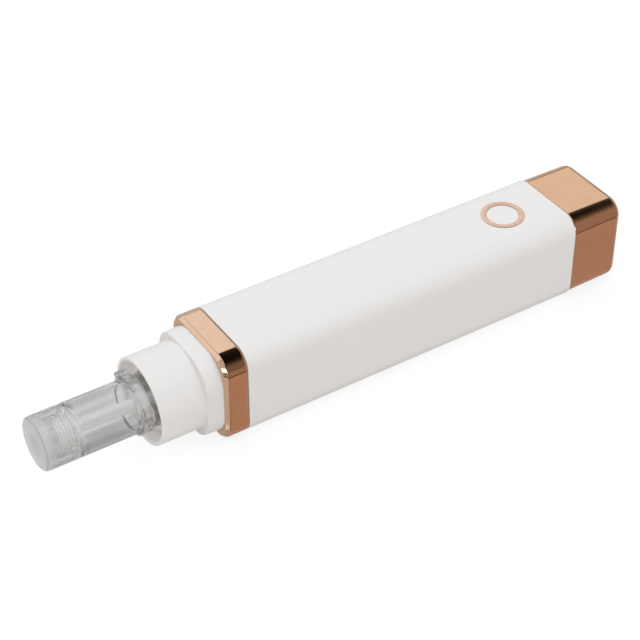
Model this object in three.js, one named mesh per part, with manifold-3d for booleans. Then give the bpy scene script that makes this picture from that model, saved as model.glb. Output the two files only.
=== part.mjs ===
// Cordless microneedling pen, lying on its flat underside with the needle tip towards -X
import * as THREE from 'three';
import { mergeVertices, toCreasedNormals } from 'three/addons/utils/BufferGeometryUtils.js';
import Module from 'manifold-3d';

const wasm = await Module();
wasm.setup();

// Driving dimensions in millimetres. x = 0 is the front edge of the body shell, and y = z = 0 is the
// pen's long centreline. The widths grow outwards from the cartridge to the body, the motor and the
// cell fill the body they leave, and the lengths of what the body holds add up to its own.

// Gaps
const bond_gap = 0.1; // between pieces that are pressed or bonded together
const slide_gap = 0.2; // around what slides
const end_gap = 0.3; // around what turns, and at the ends of what is trapped
const overrun = 2.0; // how far a cutter runs past the face it cuts

// Facets
const corner_steps = 5;
const round_steps = 32;
const nose_steps = 24;
const small_steps = 16;
const pin_steps = 8;
const needle_sides = 6;
const flare_steps = 4;
const lug_steps = 6;
const crease_angle = 0.6;

// Needle cartridge
const barrel_radius = 7.03;
const barrel_wall = 0.93;
const barrel_length = 14.8; // clear tube between its flare and the shoulder the cap stops at
const flare_length = 1.2;
const flange_radius = 7.75;
const flange_length = 2.6;
const lug_radius = 9.0;
const lug_length = 2.2;
const lug_setback = 0.2;
const lug_count = 3;
const lug_angle = 26;
const first_lug_angle = 162;
const spigot_relief = 0.08; // how much thinner the hidden end is than the tube
const cap_seat_step = 1.18; // how far the seat under the cap steps in from the tube
const cap_seat_length = 0.9;
const nose_step = 0.55; // and the ribbed nose from that seat
const nose_wall = 1.0;
const rib_count = 8;
const rib_depth = 0.3;
const rib_rise_share = 0.35;
const rib_land = 0.1; // plain nose ahead of the first rib
const nose_shoulder_wall = 0.5;

// Push-on tip cap
const tip_cap_length = 9.2;
const tip_cap_front_wall = 0.75;
const tip_cap_edge_radius = 1.1;
const tip_cap_dish = 0.15;
const tip_cap_dish_share = 0.6; // of the face's radius, where the dish is half as deep
const tip_cap_chamfer = 0.25;

// Needles and their plunger
const needle_stroke = 1.6;
const needle_recess = 0.4; // how far the retracted tips lie inside the nose
const needle_length = 2.4;
const needle_radius = 0.16;
const needle_point_length = 0.9;
const needle_rings = [
  { count: 1, radius_share: 0 },
  { count: 4, radius_share: 0.4 },
  { count: 7, radius_share: 0.78 },
];
const block_length = 5.6;
const stem_radius = 1.6;
const hub_side_gap = 1.7; // between the stem's hub and the tube
const hub_length = 1.5;
const hub_setback = 1.95; // hub face behind the front of the flange
const membrane_thickness = 0.8;
const plunger_inset = 0.8; // stem end inside the back of the cartridge

// Cartridge socket and depth sleeve
const socket_wall = 1.45;
const socket_end_wall = 1.5;
const socket_reach = 1.5; // socket ahead of the retaining ring
const socket_travel = 2.0;
const depth_turn = 150; // degrees of sleeve turn for the whole travel
const pin_count = 2;
const pin_radius = 0.8;
const pin_bite = 0.7;
const pin_setback = 2.0; // pin axis ahead of the nose base's front face
const groove_steps = 16;
const groove_depth = 0.75;
const boss_wall = 1.2;
const boss_land = 2.1; // boss ahead of its pin slots
const ring_length = 1.2;
const ring_seat_depth = 0.7; // how much thinner the boss is inside the retaining ring
const sleeve_wall = 1.31;
const sleeve_mouth_wall = 0.91;
const sleeve_length = 12.13;
const sleeve_gap = 0.15; // between the sleeve and the nose base behind it
const sleeve_edge_radius = 0.3;

// Nose base and front collar
const nose_step_length = 4.5;
const nose_margin = 0.39; // nose base's flat sides outside the round sleeve
const nose_taper = 0.2;
const nose_corner_radius = 7.5;
const nose_edge_radius = 0.7;
const nose_bulkhead = 3.5;
const nose_bore_back = 1.0; // front of the bulkhead behind the collar's front face
const plug_length = 6.0;
const plug_wall = 1.3;
const plug_corner_radius = 7.0;
const hub_boss_wall = 1.7;
const hub_boss_length = 5.0;
const collar_length = 6.5;
const collar_rim = 0.15;
const collar_bevel_width = 0.75;
const collar_bevel_length = 0.9;
const collar_lip_length = 1.2;

// Body shell
const corner_radius = 5.0;
const shell_wall = 1.8;
const shell_front_round = 0.15;
const shell_rear_round = 0.4;

// Power button
const button_setback = 14.8; // button axis ahead of the shell's rear edge
const bezel_radius = 5.88;
const bezel_width = 1.53;
const bezel_thickness = 1.0;
const bezel_chamfer = 0.12;
const button_gap = 0.15;
const button_dish = 0.12;
const button_travel = 0.4;
const button_flange_width = 1.1;
const button_flange_thickness = 0.6;
const button_chamfer = 0.15;

// Drive: bush, rod, swash cam and motor
const rod_radius = 1.6;
const bush_wall = 1.4;
const bush_flange_width = 1.4;
const bush_flange_thickness = 1.0;
const spring_room = 5.0;
const spring_turns = 3.5;
const spring_wire_radius = 0.25;
const spring_coil_gap = 0.5; // spring bore outside the rod
const spring_steps_per_turn = 8;
const spring_sides = 5;
const foot_inset = 0.2; // how far the rod's foot stays inside the cam's edge
const foot_thickness = 1.4;
const follower_inset = 1.4; // follower's middle inside the foot's edge
const follower_radius = 1.3;
const guide_tab_width = 2.4;
const guide_rail_width = 1.2;
const guide_rail_height = 3.2;
const cam_side_gap = 2.8; // between the cam and the chassis walls
const cam_length = 3.7; // along its axis, from the sloping face to the hub
const cam_hub_radius = 2.6;
const cam_hub_length = 1.5;
const cam_room = 1.0; // between the cam's hub and the motor's boss
const shaft_radius = 1.0;
const shaft_setback = 0.6; // shaft end inside the sloping face
const motor_side_gap = 0.5; // between the motor and the chassis walls
const motor_length = 21.0;
const motor_edge_radius = 0.6;
const motor_boss_radius = 3.0;
const motor_boss_length = 1.4;
const motor_bearing_depth = 4.5;
const motor_rear_boss_radius = 2.8;
const motor_rear_boss_length = 0.8;
const bracket_thickness = 1.6;
const bracket_corner = 3.0;
const motor_screw_inset = 2.5; // screws inside the motor's edge

// Screws
const screw_radius = 0.8;
const screw_head_radius = 1.5;
const screw_head_height = 0.8;
const screw_face_share = 0.8; // of the head's radius, flat
const screw_slot_width = 0.4;
const screw_slot_depth = 0.35;
const motor_screw_length = 4.2;
const board_screw_length = 3.6;
const screw_tip_room = 0.4;

// Chassis
const chassis_floor = 0.8;
const chassis_wall = 1.9;
const motor_wall_rise = 2.0; // side walls above the motor's axis
const bulkhead_thickness = 1.2;
const screw_post_radius = 1.9;
const screw_post_height = 4.2;

// Power: cell, board, switch and charging socket
const cell_side_gap = 2.0; // between the cell and the chassis walls
const cell_length = 50.0;
const cell_edge_radius = 0.5;
const cell_nub_radius = 2.6;
const cell_nub_height = 0.8;
const tab_thickness = 0.3;
const tab_width = 5.0;
const wiring_room = 1.6; // between the motor and the cell's bulkhead
const board_rise = 1.4; // board above the cell
const board_thickness = 1.0;
const board_front_inset = 3.0; // board's front end behind the front of the cell
const board_post_inset = 4.0;
const board_post_pitch = 38.0;
const switch_size = 6.0;
const switch_plunger_radius = 1.7;
const switch_plunger_height = 1.2;
const switch_well_depth = 1.5;
const port_length = 7.3;
const port_width = 8.94;
const port_height = 3.2;
const port_shell = 0.3;
const port_tongue_thickness = 0.7;
const port_tongue_inset = 1.1;
const port_tongue_setback = 0.5;
const port_recess = 1.4; // port's mouth inside the cap's end face
const lead_radius = 0.45;
const lead_spacing = 4.4;
const lead_steps = 14;
const lead_sides = 6;
const lead_rise = 1.6;

// Rear cap
const cap_length = 15.9;
const cap_inset = 0.25;
const cap_taper = 0.2;
const cap_edge_radius = 2.0;
const cap_front_round = 0.2;
const cap_wall = 1.8;
const cap_lip_length = 3.0;
const cap_lip_wall = 1.2;

// Widths, worked outwards from the cartridge
const cap_seat_radius = barrel_radius - cap_seat_step;
const nose_radius = cap_seat_radius - nose_step;
const spigot_radius = barrel_radius - spigot_relief;
const barrel_bore = barrel_radius - barrel_wall;
const spigot_bore = spigot_radius - barrel_wall;
const nose_bore = nose_radius - nose_wall;
const hub_radius = barrel_bore - hub_side_gap;
const socket_bore = spigot_radius + slide_gap;
const socket_radius = socket_bore + socket_wall;
const boss_bore = socket_radius + slide_gap;
const boss_radius = boss_bore + boss_wall;
const sleeve_bore = boss_radius + end_gap;
const sleeve_radius = sleeve_bore + sleeve_wall;
const sleeve_mouth_bore = sleeve_radius - sleeve_mouth_wall;
const ring_seat_radius = boss_radius - ring_seat_depth;
const ring_radius = sleeve_mouth_bore - slide_gap;
const tip_cap_bore = cap_seat_radius + slide_gap;
const tip_cap_radius = barrel_radius;
const nose_half = sleeve_radius + nose_margin;
const collar_hole_half = nose_half + bond_gap;
const pen_half = collar_hole_half + collar_rim + collar_bevel_width;

// Widths, worked inwards from the body's outside
const shell_half = pen_half - shell_wall; // inside the shell
const shell_corner = corner_radius - shell_wall;
const plug_half = shell_half - bond_gap;
const chassis_half = shell_half - end_gap;
const chassis_inner_half = chassis_half - chassis_wall;
const chassis_corner = shell_corner - end_gap;
const cap_lip_half = shell_half - bond_gap;
const cap_lip_inner_half = cap_lip_half - cap_lip_wall;
const motor_radius = chassis_inner_half - motor_side_gap;
const motor_screw_offset = motor_radius - motor_screw_inset;
const cell_radius = chassis_inner_half - cell_side_gap;
const cam_radius = chassis_inner_half - cam_side_gap;
const foot_radius = cam_radius - foot_inset;
const follower_offset = foot_radius - follower_inset;

// Stations along the pen, worked forwards from the body shell's front edge
const collar_front = -collar_length;
const nose_front = collar_front - nose_step_length;
const pin_x = nose_front - pin_setback;
const boss_length = pin_setback + socket_travel + pin_radius + boss_land;
const boss_front = nose_front - boss_length;
const ring_front = boss_front - ring_length;
const sleeve_rear = nose_front - sleeve_gap;
const sleeve_mouth = sleeve_rear - sleeve_length;
const sleeve_step = boss_front + end_gap;
const nose_bore_end = collar_front + nose_bore_back;
const socket_rear = nose_bore_end - end_gap;
const socket_front = ring_front - socket_reach;
const flange_rear = sleeve_mouth - end_gap;
const flange_front = flange_rear - flange_length;
const barrel_rear = socket_rear - socket_end_wall - end_gap;
const barrel_shoulder = flange_front - flare_length - barrel_length;
const tip_cap_rear = barrel_shoulder - end_gap;
const tip_front = tip_cap_rear - tip_cap_length;
const tip_cap_inner_face = tip_front + tip_cap_front_wall;
const needle_tips = tip_cap_inner_face + end_gap + needle_stroke;
const nose_end = needle_tips - needle_recess;
const block_front = needle_tips + needle_length;
const block_rear = block_front + block_length;
const ribs_front = nose_end + rib_land;
const ribs_rear = barrel_shoulder - cap_seat_length;
const hub_front = flange_front + hub_setback;
const stem_rear = barrel_rear - plunger_inset;
const rod_front = stem_rear + end_gap;

// Stations worked backwards from the body shell's front edge
const hub_boss_radius = rod_radius + slide_gap + bush_wall + bond_gap + hub_boss_wall;
const nose_bulkhead_rear = nose_bore_end + nose_bulkhead;
const hub_boss_rear = nose_bulkhead_rear + hub_boss_length;
const bush_radius = rod_radius + slide_gap + bush_wall;
const bush_rear = hub_boss_rear + bush_flange_thickness;
const foot_front = bush_rear + spring_room;
const foot_rear = foot_front + foot_thickness;
const cam_slope = needle_stroke / (2 * follower_offset);
const cam_face = foot_rear + Math.hypot(1, cam_slope) * (follower_radius + end_gap)
  + follower_offset * cam_slope;
const cam_rear = cam_face + cam_length;
const cam_hub_rear = cam_rear + cam_hub_length;
const motor_boss_front = cam_hub_rear + cam_room;
const motor_front = motor_boss_front + motor_boss_length;
const bracket_front = motor_front - bracket_thickness;
const motor_rear = motor_front + motor_length;
const front_bulkhead = motor_rear + motor_rear_boss_length + wiring_room;
const cell_front = front_bulkhead + bulkhead_thickness + tab_thickness;
const cell_rear = cell_front + cell_nub_height + cell_length;
const rear_bulkhead = cell_rear + tab_thickness;
const chassis_front = plug_length + end_gap;
const chassis_rear = rear_bulkhead + bulkhead_thickness;
const body_length = chassis_rear + end_gap + cap_lip_length;
const cap_rear = body_length + cap_length;
const cap_inner_end = cap_rear - cap_wall;
const button_x = body_length - button_setback;

// Heights above the centreline
const floor_top = chassis_floor - chassis_half;
const cell_height = floor_top + bond_gap + cell_radius;
const board_bottom = cell_height + cell_radius + board_rise;
const board_top = board_bottom + board_thickness;
const bezel_bore = bezel_radius - bezel_width;
const button_radius = bezel_bore - button_gap;
const button_flange_radius = button_radius + button_flange_width;
const button_flange_top = shell_half - end_gap;
const button_flange_bottom = button_flange_top - button_flange_thickness;
const switch_body_top = button_flange_bottom - switch_plunger_height;
const switch_well_bottom = switch_body_top - switch_well_depth;

// Finishes
function finish(color, roughness, metalness, opacity = 1) {
  return new THREE.MeshStandardMaterial({ color, roughness, metalness, opacity, transparent: opacity < 1 });
}
const white_plastic = () => finish(0xebeae8, 0.38, 0);
const rose_gold = () => finish(0xd9a07c, 0.16, 1);
const steel = () => finish(0xc4c6c8, 0.28, 1);
const clear_plastic = () => finish(0xe2e6e8, 0.08, 0, 0.35);
const frosted_plastic = () => finish(0xd6d8da, 0.4, 0, 0.6);
const grey_plastic = () => finish(0xc6c2be, 0.5, 0);
const black_plastic = () => finish(0x222325, 0.5, 0);
const bronze = () => finish(0xa97c46, 0.4, 1);
const silicone = () => finish(0xdfe3e4, 0.6, 0, 0.8);
const board_green = () => finish(0x1f5a3c, 0.5, 0);
const cell_wrap = () => finish(0x3b6ea8, 0.35, 0);
const copper_red = () => finish(0xb03030, 0.45, 0);

// Solids

function toSolid(geometry) {
  const bare = geometry.clone();
  bare.deleteAttribute('normal');
  bare.deleteAttribute('uv');
  const welded = mergeVertices(bare);
  const triangles = [];
  for (let i = 0; i < welded.index.count; i += 3) {
    const [a, b, c] = [0, 1, 2].map((k) => welded.index.getX(i + k));
    if (a !== b && b !== c && c !== a) triangles.push(a, b, c);
  }
  return new wasm.Manifold(new wasm.Mesh({
    numProp: 3,
    vertProperties: new Float32Array(welded.attributes.position.array),
    triVerts: new Uint32Array(triangles),
  }));
}

function join(first, ...others) {
  return others.reduce((whole, piece) => whole.add(piece), first);
}

function cut(whole, ...tools) {
  return tools.reduce((rest, tool) => rest.subtract(tool), whole);
}

function placed(solid, x, y = 0, z = 0) {
  return solid.translate([x, y, z]);
}

// Skins a stack of rings, each listed anticlockwise seen from the way the stack runs
function skin(rings) {
  const size = rings[0].length;
  const positions = rings.flat().flatMap((p) => [p.x, p.y, p.z]);
  const index = [];
  for (let k = 0; k + 1 < rings.length; k += 1) {
    for (let i = 0; i < size; i += 1) {
      const next = (i + 1) % size;
      const [a, b, c, d] = [k * size + i, k * size + next, (k + 1) * size + next, (k + 1) * size + i];
      index.push(a, b, c, a, c, d);
    }
  }
  const last = (rings.length - 1) * size;
  for (let i = 1; i + 1 < size; i += 1) {
    index.push(0, i + 1, i, last, last + i, last + i + 1);
  }
  const geometry = new THREE.BufferGeometry();
  geometry.setAttribute('position', new THREE.Float32BufferAttribute(positions, 3));
  geometry.setIndex(index);
  return toSolid(geometry);
}

// Rounded square with its middle on the centreline, as points in the plane at x
function squareRing(x, half, radius) {
  const points = [];
  const corner = half - radius;
  for (let quarter = 0; quarter < 4; quarter += 1) {
    const middle = (quarter + 0.5) * Math.PI / 2;
    const centre_y = corner * Math.sign(Math.cos(middle));
    const centre_z = corner * Math.sign(Math.sin(middle));
    for (let i = 0; i <= corner_steps; i += 1) {
      const angle = (quarter + i / corner_steps) * Math.PI / 2;
      const [y, z] = [centre_y + radius * Math.cos(angle), centre_z + radius * Math.sin(angle)];
      points.push(new THREE.Vector3(x, y, z));
    }
  }
  return points;
}

function loft(sections) {
  return skin(sections.map(({ x, half, radius }) => squareRing(x, half, radius)));
}

// Sections of a rounded edge: the square shrinks by `round` while x runs over `round`
function roundedEdge(x, half, radius, round, towards, steps = 3) {
  const sections = [];
  for (let i = 0; i <= steps; i += 1) {
    const angle = i / steps * Math.PI / 2;
    const shrink = round * (1 - Math.cos(angle));
    const along = towards * (Math.sin(angle) - 1) * round;
    sections.push({ x: x + along, half: half - shrink, radius: radius - shrink });
  }
  return towards > 0 ? sections : sections.reverse();
}

function squareBar(front, rear, half, radius) {
  return loft([{ x: front, half, radius }, { x: rear, half, radius }]);
}

// Revolves [x, radius] points about the centreline
const lathe_to_x = new THREE.Matrix4().makeBasis(
  new THREE.Vector3(0, 1, 0),
  new THREE.Vector3(1, 0, 0),
  new THREE.Vector3(0, 0, -1),
);
function revolve(profile, steps = round_steps) {
  const points = profile.map(([x, radius]) => new THREE.Vector2(radius, x));
  return toSolid(new THREE.LatheGeometry(points, steps).applyMatrix4(lathe_to_x));
}

function rod(front, rear, radius, steps = round_steps) {
  return revolve([[front, 0], [front, radius], [rear, radius], [rear, 0]], steps);
}

function tube(front, rear, bore, radius, steps = round_steps) {
  return revolve([[front, bore], [front, radius], [rear, radius], [rear, bore], [front, bore]], steps);
}

// Quarter-round edge of a revolved profile, from the end face to the side or back
function profileArc(x, radius, round, from_angle, to_angle, steps = 2) {
  return Array.from({ length: steps + 1 }, (_, i) => {
    const angle = THREE.MathUtils.degToRad(from_angle + (to_angle - from_angle) * i / steps);
    return [x + round * Math.cos(angle), radius + round * Math.sin(angle)];
  });
}

const extrude_to_x = new THREE.Matrix4().makeBasis(
  new THREE.Vector3(0, 1, 0),
  new THREE.Vector3(0, 0, 1),
  new THREE.Vector3(1, 0, 0),
);
function extrude(shape, front, rear, steps = small_steps) {
  const options = { depth: rear - front, bevelEnabled: false, curveSegments: steps };
  const geometry = new THREE.ExtrudeGeometry(shape, options);
  return toSolid(geometry.applyMatrix4(extrude_to_x).translate(front, 0, 0));
}

function box(front, rear, left, right, bottom, top) {
  const geometry = new THREE.BoxGeometry(rear - front, right - left, top - bottom);
  geometry.translate((front + rear) / 2, (left + right) / 2, (bottom + top) / 2);
  return toSolid(geometry);
}

// Upright disc or post at (x, y), from bottom to top
function post(x, y, bottom, top, radius, steps = small_steps) {
  const geometry = new THREE.CylinderGeometry(radius, radius, top - bottom, steps);
  geometry.rotateX(Math.PI / 2).translate(x, y, (bottom + top) / 2);
  return toSolid(geometry);
}

// Revolves [radius, z] points about an upright axis at x
function turnUpright(profile, x, steps = round_steps) {
  const points = profile.map(([radius, z]) => new THREE.Vector2(radius, z));
  const geometry = new THREE.LatheGeometry(points, steps).rotateX(Math.PI / 2).translate(x, 0, 0);
  return toSolid(geometry);
}

function stadium(width, height) {
  const shape = new THREE.Shape();
  const round = height / 2;
  const middle = width / 2 - round;
  shape.absarc(middle, 0, round, -Math.PI / 2, Math.PI / 2);
  shape.absarc(-middle, 0, round, Math.PI / 2, 3 * Math.PI / 2);
  return shape;
}

function polygon(radius, sides) {
  const points = Array.from({ length: sides }, (_, i) => {
    const angle = 2 * Math.PI * i / sides;
    return new THREE.Vector2(radius * Math.cos(angle), radius * Math.sin(angle));
  });
  return new THREE.Shape(points);
}

function wire(path, radius, sides, steps) {
  const options = { steps, extrudePath: path, bevelEnabled: false };
  return toSolid(new THREE.ExtrudeGeometry(polygon(radius, sides), options));
}

// One named sub-part, its solid given in its own place along the pen
function subPart(name, solid, material) {
  const { vertProperties, triVerts } = solid.getMesh();
  const geometry = new THREE.BufferGeometry();
  geometry.setAttribute('position', new THREE.BufferAttribute(vertProperties, 3));
  geometry.setIndex(new THREE.BufferAttribute(triVerts, 1));
  const mesh = new THREE.Mesh(toCreasedNormals(geometry, crease_angle), material);
  mesh.name = name;
  return mesh;
}

// The copies of a repeated piece, numbered from 1
function subParts(name, solids, material) {
  return solids.map((solid, i) => subPart(`${name}_${i + 1}`, solid, material));
}

// Housing

function bodyShell() {
  const outside = loft([
    ...roundedEdge(0, pen_half, corner_radius, shell_front_round, -1),
    ...roundedEdge(body_length, pen_half, corner_radius, shell_rear_round, 1),
  ]);
  const inside = squareBar(-overrun, body_length + overrun, shell_half, shell_corner);
  const hole = post(button_x, 0, 0, pen_half + overrun, button_radius + end_gap, round_steps);
  const seat = post(button_x, 0, pen_half - bezel_thickness, pen_half + overrun, bezel_radius + bond_gap,
    round_steps);
  return cut(outside, inside, hole, seat);
}

function frontCollar() {
  const front_half = pen_half - collar_bevel_width;
  const outside = loft([
    { x: collar_front, half: front_half, radius: corner_radius - collar_bevel_width },
    { x: collar_front + collar_bevel_length, half: pen_half, radius: corner_radius },
    { x: 0, half: pen_half, radius: corner_radius },
  ]);
  const opening = squareBar(collar_front - overrun, -collar_lip_length, collar_hole_half,
    nose_corner_radius + bond_gap);
  const lip_opening = squareBar(-collar_length, overrun, plug_half + bond_gap, plug_corner_radius + bond_gap);
  return cut(outside, opening, lip_opening);
}

function noseBase() {
  const front_half = nose_half - nose_taper;
  const block = loft([
    ...roundedEdge(nose_front, front_half, nose_corner_radius, nose_edge_radius, -1),
    { x: collar_front, half: nose_half, radius: nose_corner_radius },
    { x: -collar_lip_length, half: nose_half, radius: nose_corner_radius },
  ]);
  const plug = squareBar(-collar_lip_length, plug_length, plug_half, plug_corner_radius);
  const boss = rod(boss_front, nose_front + overrun, boss_radius);
  const ring_seat = rod(ring_front, boss_front + overrun, ring_seat_radius);
  const bore = rod(ring_front - overrun, nose_bore_end, boss_bore);
  const pocket = cut(
    squareBar(nose_bulkhead_rear, plug_length + overrun, plug_half - plug_wall,
      plug_corner_radius - plug_wall),
    rod(nose_bulkhead_rear, hub_boss_rear, hub_boss_radius),
  );
  const bush_hole = rod(nose_bore_end - overrun, hub_boss_rear + overrun, bush_radius + bond_gap);
  const slot_half = pin_radius + slide_gap;
  const slot_front = pin_x - socket_travel - pin_radius - slide_gap;
  const slot_rear = pin_x + pin_radius + slide_gap;
  const slot_reach = boss_radius + end_gap;
  const slots = box(slot_front, slot_rear, -slot_half, slot_half, -slot_reach, slot_reach);
  return cut(join(block, plug, boss, ring_seat), bore, pocket, bush_hole, slots);
}

function rearCap() {
  const front_half = pen_half - cap_inset;
  const rear_half = front_half - cap_taper;
  const outside = loft([
    ...roundedEdge(body_length, front_half, corner_radius - cap_inset, cap_front_round, -1),
    ...roundedEdge(cap_rear, rear_half, corner_radius - cap_inset - cap_taper, cap_edge_radius, 1),
  ]);
  const lip_rear = body_length + cap_lip_wall;
  const lip = squareBar(body_length - cap_lip_length, lip_rear, cap_lip_half, shell_corner - bond_gap);
  const mouth = squareBar(body_length - cap_lip_length - overrun, cap_inner_end, cap_lip_inner_half,
    shell_corner - bond_gap - cap_lip_wall);
  const room = squareBar(lip_rear, cap_inner_end, rear_half - cap_wall, corner_radius - cap_wall);
  const port_hole = placed(
    extrude(stadium(port_width + 2 * end_gap, port_height + 2 * end_gap), cap_inner_end - overrun,
      cap_rear + overrun),
    0, 0, board_bottom - port_height / 2,
  );
  return cut(join(outside, lip), mouth, room, port_hole);
}

// Power button

function buttonBezel() {
  const bottom = pen_half - bezel_thickness;
  return turnUpright([
    [bezel_bore, bottom],
    [bezel_radius, bottom],
    [bezel_radius, pen_half - bezel_chamfer],
    [bezel_radius - bezel_chamfer, pen_half],
    [bezel_bore + bezel_chamfer, pen_half],
    [bezel_bore, pen_half - bezel_chamfer],
    [bezel_bore, bottom],
  ], button_x);
}

function powerButton() {
  return turnUpright([
    [0, button_flange_bottom],
    [button_flange_radius, button_flange_bottom],
    [button_flange_radius, button_flange_top],
    [button_radius, button_flange_top],
    [button_radius, pen_half - button_chamfer],
    [button_radius - button_chamfer, pen_half],
    [button_radius / 2, pen_half - button_dish / 2],
    [0, pen_half - button_dish],
  ], button_x);
}

// Depth adjuster: the sleeve's two helical grooves push the socket's pins along slots in the boss

const pin_angles = Array.from({ length: pin_count }, (_, i) => Math.PI / 2 + 2 * Math.PI * i / pin_count);
const depth_turn_radians = THREE.MathUtils.degToRad(depth_turn);

function helicalGroove(start_angle) {
  const half_width = pin_radius + slide_gap;
  const inner = sleeve_bore - slide_gap;
  const outer = sleeve_bore + groove_depth;
  const end_angle = (pin_radius + slide_gap) / inner;
  const slope = socket_travel / depth_turn_radians;
  const rings = [];
  for (let i = 0; i <= groove_steps; i += 1) {
    const share = i / groove_steps;
    const turned = -depth_turn_radians - end_angle + (depth_turn_radians + 2 * end_angle) * share;
    const x = pin_x + slope * turned;
    const [y, z] = [Math.cos(start_angle + turned), Math.sin(start_angle + turned)];
    const corners = [[-half_width, inner], [half_width, inner], [half_width, outer], [-half_width, outer]];
    rings.push(corners.map(([along, radius]) => new THREE.Vector3(x + along, y * radius, z * radius)));
  }
  return skin(rings);
}

function depthSleeve() {
  const round = sleeve_edge_radius;
  const rim = sleeve_mouth_wall / 2;
  const outer = sleeve_radius - round;
  const body = revolve([
    [sleeve_mouth + rim / 2, sleeve_mouth_bore],
    [sleeve_mouth, sleeve_radius - rim],
    ...profileArc(sleeve_mouth + round, outer, round, 180, 90),
    ...profileArc(sleeve_rear - round, outer, round, 90, 0),
    [sleeve_rear, sleeve_bore],
    [sleeve_step, sleeve_bore],
    [sleeve_step, sleeve_mouth_bore],
    [sleeve_mouth + rim / 2, sleeve_mouth_bore],
  ]);
  return cut(body, ...pin_angles.map(helicalGroove));
}

function retainingRing() {
  return tube(ring_front, boss_front, ring_seat_radius + bond_gap, ring_radius);
}

function cartridgeSocket() {
  const inner_end = socket_rear - socket_end_wall;
  const body = revolve([
    [socket_front, socket_bore],
    [socket_front, socket_radius],
    [socket_rear, socket_radius],
    [socket_rear, rod_radius + end_gap],
    [inner_end, rod_radius + end_gap],
    [inner_end, socket_bore],
    [socket_front, socket_bore],
  ]);
  const reach = socket_radius + overrun;
  return cut(body, post(pin_x, 0, -reach, reach, pin_radius + bond_gap, pin_steps));
}

function socketPins() {
  const inner = socket_radius - pin_bite;
  const outer = sleeve_bore + groove_depth - slide_gap;
  const pin = post(pin_x, 0, inner, outer, pin_radius, pin_steps);
  return Array.from({ length: pin_count }, (_, i) => pin.rotate([360 * i / pin_count, 0, 0]));
}

// Needle cartridge

function cartridgeBarrel() {
  const flare = Array.from({ length: flare_steps + 1 }, (_, i) => {
    const angle = i / flare_steps * Math.PI / 2;
    return [
      flange_front - flare_length * (1 - Math.sin(angle)),
      barrel_radius + (flange_radius - barrel_radius) * (1 - Math.cos(angle)),
    ];
  });
  const inner_shoulder = barrel_shoulder + nose_shoulder_wall;
  const body = revolve([
    [ribs_rear, nose_bore],
    [ribs_rear, cap_seat_radius],
    [barrel_shoulder, cap_seat_radius],
    [barrel_shoulder, barrel_radius],
    ...flare,
    [flange_rear, flange_radius],
    [flange_rear, spigot_radius],
    [barrel_rear, spigot_radius],
    [barrel_rear, spigot_bore],
    [flange_rear, spigot_bore],
    [flange_rear, barrel_bore],
    [inner_shoulder, barrel_bore],
    [inner_shoulder, nose_bore],
    [ribs_rear, nose_bore],
  ]);
  const lug_front = flange_front + lug_setback;
  const lugs = Array.from({ length: lug_count }, (_, i) => lug(
    THREE.MathUtils.degToRad(first_lug_angle + 360 * i / lug_count),
    lug_front,
    lug_front + lug_length,
  ));
  return join(body, cartridgeNose(), ...lugs);
}

// Nose that the needles come out of, with flat-topped ribs round it
function cartridgeNose() {
  const pitch = (ribs_rear - ribs_front) / rib_count;
  const groove_radius = nose_radius - rib_depth;
  const ribs = Array.from({ length: rib_count }, (_, i) => {
    const start = ribs_front + pitch * i;
    return [
      [start, groove_radius],
      [start + pitch * rib_rise_share, nose_radius],
      [start + pitch * (1 - rib_rise_share), nose_radius],
    ];
  }).flat();
  const root = ribs_rear + cap_seat_length / 2;
  return revolve([
    [nose_end, nose_bore],
    [nose_end, groove_radius],
    ...ribs,
    [ribs_rear, groove_radius],
    [root, groove_radius],
    [root, nose_bore],
    [nose_end, nose_bore],
  ], nose_steps);
}

// Block on the flange that follows its curve, round the given angle
function lug(angle, front, rear) {
  const half_angle = THREE.MathUtils.degToRad(lug_angle) / 2;
  const inner = flange_radius - barrel_wall / 2;
  const shape = new THREE.Shape();
  shape.absarc(0, 0, lug_radius, angle - half_angle, angle + half_angle, false);
  shape.absarc(0, 0, inner, angle + half_angle, angle - half_angle, true);
  return extrude(shape, front, rear, lug_steps);
}

function safetyMembrane() {
  return tube(barrel_rear - plunger_inset - membrane_thickness, barrel_rear - plunger_inset,
    stem_radius + end_gap, spigot_bore - bond_gap);
}

function tipCap() {
  const round = tip_cap_edge_radius;
  const rim = tip_cap_radius - round;
  return revolve([
    [tip_front + tip_cap_dish, 0],
    [tip_front + tip_cap_dish / 2, rim * tip_cap_dish_share],
    ...profileArc(tip_front + round, rim, round, 180, 90),
    [tip_cap_rear - tip_cap_chamfer, tip_cap_radius],
    [tip_cap_rear, tip_cap_radius - tip_cap_chamfer],
    [tip_cap_rear, tip_cap_bore],
    [tip_cap_inner_face, tip_cap_bore],
    [tip_cap_inner_face, 0],
  ]);
}

function needleBlock() {
  return rod(block_front, block_rear, nose_bore - slide_gap);
}

function needles() {
  const all = [];
  const reach = nose_bore - slide_gap;
  for (const { count, radius_share } of needle_rings) {
    const radius = reach * radius_share;
    for (let i = 0; i < count; i += 1) {
      const angle = 2 * Math.PI * i / count;
      const needle = revolve([
        [needle_tips, 0],
        [needle_tips + needle_point_length, needle_radius],
        [block_front, needle_radius],
        [block_front, 0],
      ], needle_sides);
      all.push(placed(needle, 0, radius * Math.cos(angle), radius * Math.sin(angle)));
    }
  }
  return all;
}

function plungerStem() {
  return revolve([
    [block_rear, 0],
    [block_rear, stem_radius],
    [hub_front, stem_radius],
    [hub_front, hub_radius],
    [hub_front + hub_length, hub_radius],
    [hub_front + hub_length, stem_radius],
    [stem_rear, stem_radius],
    [stem_rear, 0],
  ], small_steps);
}

// Drive

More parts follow.
